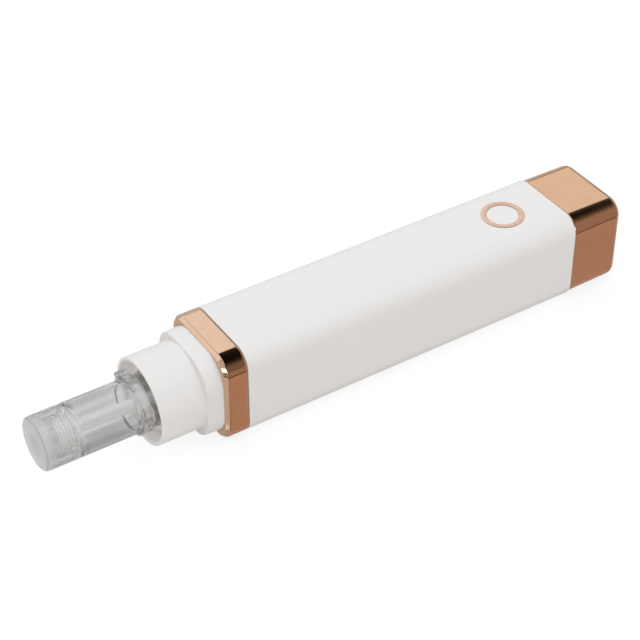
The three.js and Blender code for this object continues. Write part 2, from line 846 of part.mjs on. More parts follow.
function guideBush() {
  return revolve([
    [nose_bore_end, rod_radius + slide_gap],
    [nose_bore_end, bush_radius],
    [hub_boss_rear, bush_radius],
    [hub_boss_rear, bush_radius + bush_flange_width],
    [bush_rear, bush_radius + bush_flange_width],
    [bush_rear, rod_radius + slide_gap],
    [nose_bore_end, rod_radius + slide_gap],
  ], small_steps);
}

class Helix extends THREE.Curve {
  constructor(front, rear, radius, turns) {
    super();
    Object.assign(this, { front, rear, radius, turns });
  }

  getPoint(t, target = new THREE.Vector3()) {
    const angle = 2 * Math.PI * this.turns * t;
    const x = this.front + (this.rear - this.front) * t;
    return target.set(x, this.radius * Math.cos(angle), this.radius * Math.sin(angle));
  }
}

function returnSpring() {
  const inset = spring_wire_radius + slide_gap;
  const radius = rod_radius + spring_coil_gap + spring_wire_radius;
  const path = new Helix(bush_rear + inset, foot_front - inset, radius, spring_turns);
  return wire(path, spring_wire_radius, spring_sides, spring_turns * spring_steps_per_turn);
}

function driveRod() {
  const shaft = rod(rod_front, foot_front, rod_radius, small_steps);
  const foot = rod(foot_front, foot_rear, foot_radius);
  const dome = placed(toSolid(new THREE.SphereGeometry(follower_radius, pin_steps, pin_steps)), foot_rear, 0,
    follower_offset);
  const half_tab = guide_tab_width / 2;
  const tab_bottom = floor_top + end_gap;
  const tab = box(foot_front, foot_rear, -half_tab, half_tab, tab_bottom, -foot_radius / 2);
  return join(shaft, foot, dome, tab);
}

// Drum whose front face slopes, so that the follower moves by the needle stroke each turn
function swashCam() {
  const lead = cam_radius * cam_slope;
  const drum = rod(cam_face - lead - overrun, cam_rear, cam_radius);
  const hub = rod(cam_rear - cam_hub_length, cam_hub_rear, cam_hub_radius, small_steps);
  const bore = rod(cam_face - lead - 2 * overrun, cam_hub_rear + overrun, shaft_radius + bond_gap,
    small_steps);
  const reach = cam_radius + overrun;
  const depth = lead + 2 * overrun;
  const shape = new THREE.Shape([
    new THREE.Vector2(-depth, -reach),
    new THREE.Vector2(cam_slope * reach, -reach),
    new THREE.Vector2(-cam_slope * reach, reach),
    new THREE.Vector2(-depth, reach),
  ]);
  const slope_cut = toSolid(new THREE.ExtrudeGeometry(shape, { depth: 2 * reach, bevelEnabled: false })
    .translate(0, 0, -reach).rotateX(Math.PI / 2).translate(cam_face, 0, 0));
  return cut(join(drum, hub), slope_cut, bore);
}

function motorShaft() {
  return rod(cam_face + shaft_setback, motor_front + motor_bearing_depth, shaft_radius, small_steps);
}

function screwPlaces(offset) {
  return [offset, -offset];
}

function motorCan() {
  const round = motor_edge_radius;
  const edge = motor_radius - round;
  const bearing = shaft_radius + slide_gap;
  const body = revolve([
    [motor_front + motor_bearing_depth + end_gap, 0],
    [motor_front + motor_bearing_depth + end_gap, bearing],
    [motor_boss_front, bearing],
    [motor_boss_front, motor_boss_radius],
    [motor_front, motor_boss_radius],
    ...profileArc(motor_front + round, edge, round, 180, 90),
    ...profileArc(motor_rear - round, edge, round, 90, 0),
    [motor_rear, motor_rear_boss_radius],
    [motor_rear + motor_rear_boss_length, motor_rear_boss_radius],
    [motor_rear + motor_rear_boss_length, 0],
  ]);
  const hole_rear = bracket_front + motor_screw_length + screw_tip_room;
  const holes = screwPlaces(motor_screw_offset).map((y) => (
    placed(rod(motor_front - overrun, hole_rear, screw_radius + bond_gap, pin_steps), 0, y)
  ));
  return cut(body, ...holes);
}

function motorBracket() {
  const half = chassis_inner_half - slide_gap;
  const shape = new THREE.Shape([
    new THREE.Vector2(half, floor_top + bracket_corner + bond_gap),
    new THREE.Vector2(half, half - bracket_corner),
    new THREE.Vector2(half - bracket_corner, half),
    new THREE.Vector2(bracket_corner - half, half),
    new THREE.Vector2(-half, half - bracket_corner),
    new THREE.Vector2(-half, floor_top + bracket_corner + bond_gap),
    new THREE.Vector2(bracket_corner - half, floor_top + bond_gap),
    new THREE.Vector2(half - bracket_corner, floor_top + bond_gap),
  ]);
  const plate = extrude(shape, bracket_front, motor_front);
  const middle = rod(bracket_front - overrun, motor_front + overrun, motor_boss_radius + bond_gap,
    small_steps);
  const holes = screwPlaces(motor_screw_offset).map((y) => (
    placed(rod(bracket_front - overrun, motor_front + overrun, screw_radius + bond_gap, pin_steps), 0, y)
  ));
  return cut(plate, middle, ...holes);
}

// Screw along X with its head's seat at x = 0 and a slot across the head
function screw(length) {
  const body = revolve([
    [-screw_head_height, 0],
    [-screw_head_height, screw_head_radius * screw_face_share],
    [-screw_head_height / 2, screw_head_radius],
    [0, screw_head_radius],
    [0, screw_radius],
    [length, screw_radius],
    [length, 0],
  ], pin_steps);
  const slot = box(-screw_head_height - overrun, screw_slot_depth - screw_head_height, -screw_head_radius,
    screw_head_radius, -screw_slot_width / 2, screw_slot_width / 2);
  return cut(body, slot);
}

function motorScrews() {
  return screwPlaces(motor_screw_offset).map((y) => placed(screw(motor_screw_length), bracket_front, y));
}

// Chassis and power

const post_places = [0, 1].flatMap((k) => [1, -1].map((side) => ({
  x: cell_front + board_front_inset + board_post_inset + board_post_pitch * k,
  y: side * (cap_lip_inner_half - end_gap - screw_head_radius),
})));

function innerChassis() {
  const hull = squareBar(chassis_front, chassis_rear, chassis_half, chassis_corner);
  const trough = box(chassis_front - overrun, chassis_rear + overrun, -chassis_inner_half, chassis_inner_half,
    floor_top, chassis_half + overrun);
  const top = box(chassis_front - overrun, chassis_rear + overrun, -chassis_half - overrun,
    chassis_half + overrun, board_bottom, chassis_half + overrun);
  const motor_top = box(chassis_front - overrun, front_bulkhead, -chassis_half - overrun,
    chassis_half + overrun, motor_wall_rise, chassis_half + overrun);
  const wall_half = chassis_inner_half + chassis_wall / 2;
  const wall = (front, height) => box(front, front + bulkhead_thickness, -wall_half, wall_half,
    floor_top - chassis_floor / 2, height);
  const bracket_rest = cut(
    wall(bracket_front - bulkhead_thickness, motor_wall_rise),
    rod(bracket_front - bulkhead_thickness - overrun, bracket_front + overrun, cam_radius + end_gap),
    box(bracket_front - bulkhead_thickness - overrun, bracket_front + overrun,
      -motor_screw_offset - screw_head_radius - end_gap, motor_screw_offset + screw_head_radius + end_gap,
      -screw_head_radius - end_gap, motor_wall_rise + overrun),
  );
  const saddle = cut(
    wall(motor_rear - 2 * bulkhead_thickness, 0),
    rod(motor_front, motor_rear, motor_radius + bond_gap),
  );
  const rails = [1, -1].map((side) => {
    const near = side * (guide_tab_width / 2 + slide_gap);
    const far = near + side * guide_rail_width;
    return box(foot_front - needle_stroke - end_gap, foot_rear + end_gap, Math.min(near, far),
      Math.max(near, far), floor_top - chassis_floor / 2, floor_top + guide_rail_height);
  });
  const posts = post_places.map(({ x, y }) => (
    post(x, y, board_bottom - screw_post_height, board_bottom, screw_post_radius)
  ));
  const pilots = post_places.map(({ x, y }) => (
    post(x, y, board_top - board_screw_length - screw_tip_room, board_bottom + overrun,
      screw_radius + bond_gap, pin_steps)
  ));
  const rim_rear = chassis_front + bulkhead_thickness;
  const tab_slot_half = guide_tab_width / 2 + slide_gap;
  const rim = cut(
    squareBar(chassis_front, rim_rear, chassis_half, chassis_corner),
    rod(chassis_front - overrun, rim_rear + overrun, foot_radius + end_gap),
    box(chassis_front - overrun, rim_rear + overrun, -foot_radius, foot_radius, 0, chassis_half + overrun),
    box(chassis_front - overrun, rim_rear + overrun, -tab_slot_half, tab_slot_half, floor_top, 0),
  );
  const lead_gap = box(front_bulkhead - overrun, front_bulkhead + bulkhead_thickness + overrun,
    -lead_spacing, lead_spacing, board_bottom - lead_rise - lead_radius, board_bottom + overrun);
  const bulkheads = [
    cut(wall(front_bulkhead, board_bottom), lead_gap),
    wall(rear_bulkhead, board_bottom),
  ];
  const tray = cut(hull, trough, top, motor_top);
  return cut(join(tray, bracket_rest, saddle, ...rails, ...posts, rim, ...bulkheads), ...pilots);
}

function batteryCell() {
  const round = cell_edge_radius;
  const edge = cell_radius - round;
  const front = cell_front + cell_nub_height;
  return placed(revolve([
    [cell_front, 0],
    [cell_front, cell_nub_radius],
    [front, cell_nub_radius],
    ...profileArc(front + round, edge, round, 180, 90),
    ...profileArc(cell_rear - round, edge, round, 90, 0),
    [cell_rear, 0],
  ]), 0, 0, cell_height);
}

// Nickel strip that stands at one end of the cell and reaches up to the board
function batteryTab(front) {
  return box(front, front + tab_thickness, -tab_width / 2, tab_width / 2, cell_height - cell_nub_radius,
    board_bottom - bond_gap);
}

const board_front = cell_front + board_front_inset;
const board_rear = cap_inner_end - end_gap;
const board_half_width = cap_lip_inner_half - end_gap;

// Chips on top of the board, as shares of its length, half-width and thickness
const chip_shares = [
  { along: 0.14, across: -0.1, length: 0.07, width: 0.34, height: 0.9 },
  { along: 0.3, across: 0.2, length: 0.09, width: 0.42, height: 1.1 },
  { along: 0.44, across: -0.3, length: 0.05, width: 0.25, height: 1.6 },
  { along: 0.8, across: 0.25, length: 0.06, width: 0.3, height: 0.9 },
  { along: 0.86, across: -0.35, length: 0.04, width: 0.2, height: 1.2 },
];

function circuitBoard() {
  const length = board_rear - board_front;
  const chips = chip_shares.map((chip) => {
    const x = board_front + chip.along * length;
    const y = chip.across * board_half_width;
    const half_length = chip.length * length / 2;
    const half_width = chip.width * board_half_width / 2;
    return box(x - half_length, x + half_length, y - half_width, y + half_width, board_bottom + bond_gap,
      board_top + chip.height * board_thickness);
  });
  const plate = box(board_front, board_rear, -board_half_width, board_half_width, board_bottom, board_top);
  const holes = post_places.map(({ x, y }) => (
    post(x, y, board_bottom - overrun, board_top + overrun, screw_radius + bond_gap, pin_steps)
  ));
  return cut(join(plate, ...chips), ...holes);
}

function boardScrews() {
  const upright = screw(board_screw_length).rotate([0, 90, 0]);
  return post_places.map(({ x, y }) => placed(upright, x, y, board_top));
}

function switchBody() {
  const half = switch_size / 2;
  const body = box(button_x - half, button_x + half, -half, half, board_top, switch_body_top);
  const well = post(button_x, 0, switch_well_bottom, switch_body_top + overrun,
    switch_plunger_radius + slide_gap);
  return cut(body, well);
}

function switchPlunger() {
  return post(button_x, 0, switch_well_bottom + button_travel + bond_gap, button_flange_bottom,
    switch_plunger_radius);
}

const port_mouth = cap_rear - port_recess;
const port_height_above = board_bottom - port_height / 2;

function chargingPort() {
  const outside = extrude(stadium(port_width, port_height), port_mouth - port_length, port_mouth);
  const inside = extrude(stadium(port_width - 2 * port_shell, port_height - 2 * port_shell),
    port_mouth - port_length + port_shell, port_mouth + overrun);
  return placed(cut(outside, inside), 0, 0, port_height_above);
}

function portTongue() {
  const half_width = port_width / 2 - port_tongue_inset;
  const half_height = port_tongue_thickness / 2;
  return box(port_mouth - port_length + port_shell, port_mouth - port_tongue_setback, -half_width, half_width,
    port_height_above - half_height, port_height_above + half_height);
}

// Two wires from the back of the motor, over the bulkhead and onto the board
function motorLeads() {
  const start = motor_rear + lead_radius;
  const top = board_top + lead_radius + lead_rise;
  return [1, -1].map((side) => {
    const y = side * lead_spacing / 2;
    const path = new THREE.CatmullRomCurve3([
      new THREE.Vector3(start, y + side * motor_rear_boss_radius, 0),
      new THREE.Vector3(start + wiring_room / 2, y + side * motor_rear_boss_radius, board_bottom / 2),
      new THREE.Vector3(front_bulkhead, y, top),
      new THREE.Vector3(board_front, y, top),
      new THREE.Vector3(board_front + board_front_inset / 2, y, board_top + bond_gap),
    ]);
    return wire(path, lead_radius, lead_sides, lead_steps);
  });
}

// The pen

const housing = new THREE.Group();
housing.add(
  subPart('body_shell', bodyShell(), white_plastic()),
  subPart('front_collar', frontCollar(), rose_gold()),
  subPart('nose_base', noseBase(), white_plastic()),
  subPart('rear_cap', rearCap(), rose_gold()),
  subPart('retaining_ring', retainingRing(), grey_plastic()),
);

const button = new THREE.Group();
button.add(
  subPart('button_bezel', buttonBezel(), rose_gold()),
  subPart('power_button', powerButton(), white_plastic()),
  subPart('switch_plunger', switchPlunger(), grey_plastic()),
);

const depth_adjuster = new THREE.Group();
depth_adjuster.add(
  subPart('depth_sleeve', depthSleeve(), white_plastic()),
  subPart('cartridge_socket', cartridgeSocket(), grey_plastic()),
  ...subParts('socket_pin', socketPins(), steel()),
);

const cartridge = new THREE.Group();
cartridge.add(
  subPart('cartridge_barrel', cartridgeBarrel(), clear_plastic()),
  subPart('safety_membrane', safetyMembrane(), silicone()),
  subPart('needle_block', needleBlock(), white_plastic()),
  ...subParts('needle', needles(), steel()),
  subPart('plunger_stem', plungerStem(), white_plastic()),
  subPart('tip_cap', tipCap(), frosted_plastic()),
);

const drive = new THREE.Group();
drive.add(
  subPart('guide_bush', guideBush(), bronze()),
  subPart('return_spring', returnSpring(), steel()),
  subPart('drive_rod', driveRod(), steel()),
  subPart('swash_cam', swashCam(), black_plastic()),
  subPart('motor_shaft', motorShaft(), steel()),
  subPart('motor_can', motorCan(), steel()),
  subPart('motor_bracket', motorBracket(), steel()),
  ...subParts('motor_screw', motorScrews(), steel()),
);

const power = new THREE.Group();
power.add(
  subPart('inner_chassis', innerChassis(), black_plastic()),
  subPart('battery_cell', batteryCell(), cell_wrap()),
  subPart('front_battery_tab', batteryTab(cell_front - tab_thickness), steel()),
  subPart('rear_battery_tab', batteryTab(cell_rear), steel()),
  subPart('circuit_board', circuitBoard(), board_green()),
  ...subParts('board_screw', boardScrews(), steel()),
  subPart('switch_body', switchBody(), black_plastic()),
  subPart('charging_port', chargingPort(), steel()),
  subPart('port_tongue', portTongue(), black_plastic()),
  ...subParts('motor_lead', motorLeads(), copper_red()),
);

const pen = new THREE.Group();
pen.add(housing, button, depth_adjuster, cartridge, drive, power);
pen.position.set(-(tip_front + cap_rear) / 2, 0, pen_half);

export default pen;
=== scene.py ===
"""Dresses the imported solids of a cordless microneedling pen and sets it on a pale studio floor."""

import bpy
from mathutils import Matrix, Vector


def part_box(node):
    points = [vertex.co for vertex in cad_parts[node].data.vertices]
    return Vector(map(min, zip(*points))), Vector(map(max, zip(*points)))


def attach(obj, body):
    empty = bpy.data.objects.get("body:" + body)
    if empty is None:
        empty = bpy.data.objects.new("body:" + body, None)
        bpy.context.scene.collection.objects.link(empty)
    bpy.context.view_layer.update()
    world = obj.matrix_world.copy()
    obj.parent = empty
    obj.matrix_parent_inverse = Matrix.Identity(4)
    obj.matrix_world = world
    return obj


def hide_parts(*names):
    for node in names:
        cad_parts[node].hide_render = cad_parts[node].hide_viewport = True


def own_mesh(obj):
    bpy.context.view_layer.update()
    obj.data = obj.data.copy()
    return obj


bl_info = {
    "name": "Cordless Microneedling Pen",
    "version": (1, 0, 0),
    "blender": (4, 5, 0),
    "location": "3D View > Sidebar > Needling Pen",
    "description": "Finished housing, button, depth adjuster, cartridge, drive and power pieces, with a studio",
    "category": "Object",
}

import math

import bmesh
import bpy
from bpy.props import FloatProperty, FloatVectorProperty, IntProperty, PointerProperty
from mathutils import Vector

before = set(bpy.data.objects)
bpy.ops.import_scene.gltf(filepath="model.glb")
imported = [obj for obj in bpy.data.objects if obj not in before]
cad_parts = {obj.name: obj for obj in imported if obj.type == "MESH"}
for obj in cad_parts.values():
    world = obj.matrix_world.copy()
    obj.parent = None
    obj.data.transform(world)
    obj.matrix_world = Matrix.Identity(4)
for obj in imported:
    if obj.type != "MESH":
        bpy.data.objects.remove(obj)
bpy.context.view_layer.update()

MM = 0.001
TURN = 2 * math.pi
AXIS_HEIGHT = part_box("body_shell")[1].z / 2
SMOOTH_ANGLE = math.radians(32)
COOL = (0.74, 0.93, 1.0, 1.0)
WHITE = (1.0, 1.0, 1.0, 1.0)
NOSE_LIP = 0.1  # Millimetres ahead of the first rib
ARC_REACH = 0.48  # Share of a side that the arc at one of its ends may take
WELD = 1e-7  # Metres within which points are joined
SLIVER = 1e-8  # Metres below which an edge is taken out
SENSOR_WIDTH = 36.0  # Millimetres


class Extent:
    """Where a solid starts and ends along the pen, and how wide and high it is."""

    def __init__(self, node):
        low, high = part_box(node)
        self.front, self.rear = low.x, high.x
        self.bottom, self.top = low.z, high.z
        self.height = high.z - low.z
        self.half = (high.y - low.y) / 2
        self.middle = (low + high) / 2


# Settings


def number(name, description, value):
    return FloatProperty(name=name, description=description, default=value)


def count(name, description, value):
    return IntProperty(name=name, description=description, default=value, min=1)


def length(name, description, millimetres):
    return FloatProperty(
        name=name, description=description, default=millimetres * MM, min=0.0, unit="LENGTH", precision=5
    )


def turn(name, description, degrees):
    return FloatProperty(name=name, description=description, default=math.radians(degrees), subtype="ANGLE")


def share(name, description, value):
    return FloatProperty(
        name=name, description=description, default=value, min=0.0, max=1.0, subtype="FACTOR"
    )


def tint(name, description, value):
    return FloatVectorProperty(
        name=name, description=description, default=value, size=3, min=0.0, max=1.0, subtype="COLOR"
    )


def vector(name, description, value, subtype):
    return FloatVectorProperty(name=name, description=description, default=value, subtype=subtype)


class HousingSettings(bpy.types.PropertyGroup):
    white: tint("White Plastic", "Colour of the shell, nose, button and sleeve", (0.838, 0.821, 0.81))
    white_roughness: share("White Roughness", "Roughness of the satin white plastic", 0.33)
    gold: tint("Rose Gold", "Colour of the plated collar and end cap", (0.77, 0.49, 0.325))
    # Painted shade: a darker copy of the plating's colour for its flat sides.
    painted_shade_gold: tint("Painted Shade Gold", "Colour of the plating on its sides", (0.77, 0.343, 0.18))
    gold_roughness: share("Gold Roughness", "Roughness of the polished plating", 0.075)
    corner: length("Body Corner", "Radius of the body's long edges", 5.0)
    wall: length("Wall", "Thickness of the shell's walls", 1.8)
    front_round: length("Front Round", "Round on the shell's front edge", 0.15)
    rear_round: length("Rear Round", "Round on the shell's rear edge", 0.4)
    collar_round: length("Collar Round", "Round on the collar's rear edge", 0.7)
    edge_break: length("Edge Break", "Fine round on the plated pieces' edges", 0.07)
    bevel_round: length("Bevel Round", "Round on the crease behind the collar's bevel", 0.3)
    bevel_width: length("Collar Bevel Width", "How far the collar's bevel comes in", 0.75)
    bevel_length: length("Collar Bevel Length", "How long the collar's bevel is", 0.9)
    opening_corner: length("Collar Opening Corner", "Corner radius of the collar's opening", 7.6)
    bond_gap: length("Bond Gap", "Gap between bonded pieces", 0.1)
    collar_lip: length("Collar Lip", "Length of the lip that holds the nose base", 1.2)
    nose_taper: length("Nose Taper", "How much narrower the nose base is at its front", 0.2)
    nose_edge: length("Nose Edge", "Round on the nose base's front edge", 0.7)
    sleeve_gap: length("Sleeve Gap", "Gap between the sleeve and the nose base", 0.15)
    sleeve_land: length("Sleeve Land", "Gap left over the low land inside it", 0.03)
    land_inset: length("Land Inset", "How far that land stays inside the sleeve", 0.1)
    plug_corner: length("Plug Corner", "Corner radius of the plug inside the shell", 7.0)
    plug_wall: length("Plug Wall", "Wall of the plug inside the shell", 1.3)
    boss_bore: length("Boss Bore", "Radius of the bore that the socket slides in", 8.8)
    boss_radius: length("Boss Radius", "Outside radius of the boss in the sleeve", 10.0)
    ring_seat: length("Ring Seat", "Radius of the boss inside the retaining ring", 9.3)
    hub_radius: length("Hub Radius", "Outside radius of the rod guide's hub", 5.0)
    hub_bore: length("Hub Bore", "Bore of the hub that holds the bush", 3.3)
    hub_rise: length("Hub Length", "How far the hub stands behind the bulkhead", 5.0)
    bulkhead: length("Bulkhead", "Thickness of the nose base's bulkhead", 3.5)
    bore_back: length("Bore Back", "Bulkhead front behind the collar's front", 1.0)
    cap_front_round: length("Cap Front Round", "Round on the end cap's front edge", 0.32)
    cap_edge: length("Cap Edge", "Round on the end cap's rear edge", 2.0)
    cap_taper: length("Cap Taper", "How much narrower the end cap is at its rear", 0.2)
    cap_wall: length("Cap Wall", "Thickness of the end cap's walls", 1.8)
    cap_lip_wall: length("Cap Lip Wall", "Thickness of the cap's lip inside the shell", 1.2)
    port_gap: length("Port Gap", "Gap round the charging port", 0.3)


class ButtonSettings(bpy.types.PropertyGroup):
    ring_gold: tint("Ring Gold", "Colour of the ring's satin plating", (0.857, 0.585, 0.45))
    ring_width: length("Ring Width", "Width of the rose-gold ring", 1.53)
    ring_thickness: length("Ring Thickness", "Depth of the ring's seat", 1.0)
    ring_round: length("Ring Round", "Round on the ring's top edges", 0.03)
    ring_gap: length("Ring Gap", "Gap between the shell and the ring", 0.01)
    disc_gap: length("Disc Gap", "Gap between the ring and the button", 0.06)
    disc_round: length("Disc Round", "Round on the button's top edge", 0.12)
    disc_dish: length("Disc Dish", "Depth of the button's dish", 0.12)
    disc_flange: length("Disc Flange", "Thickness of the flange under the shell", 0.6)


class AdjusterSettings(bpy.types.PropertyGroup):
    sleeve_bore: length("Sleeve Bore", "Bore of the sleeve over the boss", 10.3)
    sleeve_mouth: length("Sleeve Mouth", "Wall of the sleeve at its mouth", 0.91)
    sleeve_step: length("Sleeve Step", "Where the sleeve's bore widens, behind its mouth", 5.68)
    sleeve_edge: length("Sleeve Edge", "Round on the sleeve's front edge", 0.3)
    pin_setback: length("Pin Setback", "Pin axis ahead of the sleeve's rear edge", 1.85)
    pin_radius: length("Pin Radius", "Radius of the socket's pins", 0.8)
    slide_gap: length("Slide Gap", "Gap round sliding pieces", 0.2)
    groove_depth: length("Groove Depth", "Depth of the helical grooves", 0.75)
    travel: length("Travel", "How far the socket moves for a full turn", 2.0)
    full_turn: turn("Full Turn", "Turn of the sleeve for the whole travel", 150)
    socket_bore: length("Socket Bore", "Bore that takes the cartridge", 7.15)
    socket_end: length("Socket End", "Thickness of the socket's end wall", 1.5)
    rod_hole: length("Rod Hole", "Radius of the hole for the drive rod", 1.9)
    # Painted shade: a greyer copy of the white plastic for pieces that sit in shade inside the sleeve.
    grey: tint("Grey Plastic", "Colour of the socket and the retaining ring", (0.66, 0.635, 0.615))


class CartridgeSettings(bpy.types.PropertyGroup):
    clear: tint("Clear Plastic", "Tint of the cartridge's clear plastic", (0.868, 0.875, 0.884))
    clear_roughness: share("Clear Roughness", "Roughness of the clear tube at its flange", 0.02)
    tube_haze: share("Tube Haze", "Roughness that the tube gains ahead of its flange", 0.1)
    rim_alpha: share("Rim Alpha", "How solid the flange and its lugs look", 0.75)
    seam_alpha: share("Seam Alpha", "How solid the clear plastic looks where the cap meets the tube", 0.28)
    side_alpha: share("Side Alpha", "How solid the cap's side looks over the ribs", 0.4)
    # Painted shade: how far the tube's tone darkens towards its low near side.
    shade: share("Shade", "How much the tube's clear plastic darkens towards one side", 0.25)
    frost: tint("Cap Plastic", "Tint of the push-on cap", (0.91, 0.915, 0.922))
    frost_roughness: share("Cap Roughness", "Roughness of the push-on cap's side", 0.05)
    wall: length("Wall", "Thickness of the tube's wall", 0.93)
    tube_radius: length("Tube Radius", "Outside radius of the tube", 7.03)
    spigot_radius: length("Spigot Radius", "Outside radius of the end in the socket", 6.95)
    shoulder: length("Shoulder", "Where the tube ends, behind the nose's front", 7.25)
    flare: length("Flare", "Length of the flare", 1.2)
    flange_radius: length("Flange Radius", "Outside radius of the flange", 7.75)
    flange_front: length("Flange Front", "Front of the flange, behind the nose's front", 23.25)
    flange_length: length("Flange Length", "Length of the flange", 2.6)
    lug_length: length("Lug Length", "Length of the locking lugs", 2.2)
    lug_setback: length("Lug Setback", "Front of the lugs behind that of the flange", 0.2)
    lug_width: turn("Lug Width", "Angle that a lug covers", 26)
    first_lug: turn("First Lug", "Angle of the first lug round the pen", 162)
    lug_count: count("Lugs", "How many locking lugs", 3)
    seat_radius: length("Seat Radius", "Radius of the seat under the cap", 5.85)
    seat_length: length("Seat Length", "Length of that seat", 0.9)
    nose_radius: length("Nose Radius", "Outside radius of the ribbed nose", 5.3)
    nose_wall: length("Nose Wall", "Wall of the ribbed nose", 1.0)
    rib_count: count("Ribs", "How many ribs go round the nose", 8)
    rib_depth: length("Rib Depth", "How deep the grooves between the ribs are", 0.3)
    cap_wall: length("Cap Front Wall", "Thickness of the cap's front", 0.75)
    cap_dish: length("Cap Dish", "How far the cap's front is dished", 0.15)
    cap_edge: length("Cap Edge", "Round on the cap's front edge", 1.1)
    stem_radius: length("Stem Radius", "Radius of the plunger's stem", 1.6)
    hub_front: length("Hub Front", "Front of the plunger's hub behind the flange's front", 1.95)
    hub_length: length("Hub Length", "Length of the plunger's hub", 1.5)
    needle_radius: length("Needle Radius", "Radius of a needle", 0.16)
    needle_point: length("Needle Point", "Length of a needle's point", 0.9)


class DriveSettings(bpy.types.PropertyGroup):
    spring_turns: number("Spring Turns", "Turns of the return spring", 3.5)
    spring_wire: length("Spring Wire", "Radius of the spring's wire", 0.25)
    steel: tint("Steel", "Colour of the bright steel", (0.56, 0.57, 0.58))
    bronze: tint("Bronze", "Colour of the sintered bush", (0.45, 0.27, 0.11))


class PowerSettings(bpy.types.PropertyGroup):
    black: tint("Black Plastic", "Colour of the chassis and the switch", (0.018, 0.019, 0.021))
    board: tint("Solder Mask", "Colour of the circuit board", (0.012, 0.10, 0.05))
    wrap: tint("Cell Wrap", "Colour of the battery's wrap", (0.04, 0.16, 0.38))
    wire: tint("Wire", "Colour of the motor's leads", (0.42, 0.03, 0.03))
    port_shell: length("Port Shell", "Thickness of the charging port's shell", 0.3)
    contact_pitch: length("Contact Pitch", "Distance between the port's contacts", 0.5)
    contact_width: length("Contact Width", "Width of a contact", 0.26)
    contact_count: count("Contacts", "Contacts on each side of the tongue", 12)


class StageSettings(bpy.types.PropertyGroup):
    floor_size: length("Floor Size", "Side of the square floor", 6000)
    floor_color: tint("Floor", "Colour of the floor", (0.86, 0.815, 0.78))
    fill: number("Fill", "Strength of the light from all round", 0.755)
    lamp_power: FloatProperty(
        name="Lamp", description="Power of the soft lamp overhead", default=5.3, unit="POWER"
    )
    lamp_size: length("Lamp Size", "Side of the square lamp", 1400)
    lamp_place: vector("Lamp Place", "Where the soft lamp hangs", (0.0, -0.15, 1.2), "TRANSLATION")
    lens: number("Lens", "Focal length in millimetres", 105.58)
    distance: length("Distance", "From the camera to what it looks at", 476.5)
    target: vector("Target", "What the camera looks at", (-0.00366, 0.0, 0.0156), "TRANSLATION")
    back: vector("View", "Direction from there to the camera", (-0.42147, -0.65149, 0.63081), "DIRECTION")


# Mesh work. Outlines are lists of corners: where along the pen, half the width there, and after these, for a
# corner that has them, the radius of its round and the core, half the width of the flat between its arcs.


def rounded(corners, closed=True, steps=4):
    """Profile of (x, half, core) points with an arc in place of each corner that has a round."""
    corners = [(*corner, 0.0, 0.0)[:4] for corner in corners]
    places = [Vector(corner[:2]) for corner in corners]
    points = []
    for i, (_, _, size, core) in enumerate(corners):
        here = places[i]
        if not size or (not closed and i in (0, len(corners) - 1)):
            points.append((here.x, here.y, core))
            continue
        back, on = places[i - 1] - here, places[(i + 1) % len(corners)] - here
        half_angle = back.angle(on) / 2
        most = ARC_REACH * min(back.length, on.length)
        cut = min(size / math.tan(half_angle), most)
        radius = cut * math.tan(half_angle)
        back.normalize()
        on.normalize()
        centre = here + (back + on).normalized() * radius / math.sin(half_angle)
        start, end = here + back * cut - centre, here + on * cut - centre
        sweep = start.angle(end)
        for k in range(steps + 1):
            spoke = start * math.sin((1 - k / steps) * sweep) + end * math.sin(k / steps * sweep)
            spoke /= math.sin(sweep)
            points.append((centre.x + spoke.x, centre.y + spoke.y, core))
    return points


def new_object(name, data):
    thing = bpy.data.objects.new(name, data)
    bpy.context.scene.collection.objects.link(thing)
    return thing


def skin(name, *parts, closed=False):
    """Joins each part's rings of points, round in a loop or with a face over each end."""
    vertices, faces = [], []
    for rings in parts:
        size, start = len(rings[0]), len(vertices)
        vertices += [point for ring in rings for point in ring]
        for k in range(len(rings) if closed else len(rings) - 1):
            first, second = start + k * size, start + (k + 1) % len(rings) * size
            for i in range(size):
                j = (i + 1) % size
                faces.append((first + i, first + j, second + j, second + i))
        if not closed:
            faces.append(tuple(range(start, start + size)))
            faces.append(tuple(reversed(range(len(vertices) - size, len(vertices)))))
    mesh = bpy.data.meshes.new(name)
    mesh.from_pydata(vertices, [], faces)
    work = bmesh.new()
    work.from_mesh(mesh)
    bmesh.ops.remove_doubles(work, verts=work.verts, dist=WELD)
    bmesh.ops.dissolve_degenerate(work, dist=SLIVER, edges=work.edges)
    bmesh.ops.recalc_face_normals(work, faces=work.faces)
    work.to_mesh(mesh)
    work.free()
    return new_object(name, mesh)


def circle(x, radius, steps, y=0.0, z=AXIS_HEIGHT):
    """Round ring across the pen at x."""
    angles = [TURN * i / steps for i in range(steps)]
    return [(x, y + radius * math.cos(angle), z + radius * math.sin(angle)) for angle in angles]


def square_ring(x, half, core, steps):
    """Rounded square, or a circle where the core is nothing, across the pen at x."""
    points = []
    for quarter in range(4):
        middle = (quarter + 0.5) * math.pi / 2
        across = math.copysign(core, math.cos(middle))
        up = AXIS_HEIGHT + math.copysign(core, math.sin(middle))
        for i in range(steps + 1):
            angle = (quarter + i / steps) * math.pi / 2
            points.append((x, across + (half - core) * math.cos(angle), up + (half - core) * math.sin(angle)))
    return points


def flat_ring(x, outline, z=AXIS_HEIGHT):
    """Ring across the pen at x, from an outline of points sideways and up from height z."""
    return [(x, y, z + up) for y, up in outline]


def rectangle(half, bottom, top, middle=0.0):
    return [(middle - half, bottom), (middle + half, bottom), (middle + half, top), (middle - half, top)]


def stadium(width, height, steps=24):
    """Outline of a slot with round ends."""
    radius = height / 2
    points = []
    for side in (1, -1):
        for i in range(steps + 1):
            angle = math.pi * (i / steps - 0.5)
            reach = width / 2 - radius + radius * math.cos(angle)
            points.append((side * reach, side * radius * math.sin(angle)))
    return points


def moulded(name, corners, closed=True, steps=16):
    """Solid whose sections across the pen are rounded squares or circles."""
    return skin(name, [square_ring(*point, steps) for point in rounded(corners, closed)], closed=closed)


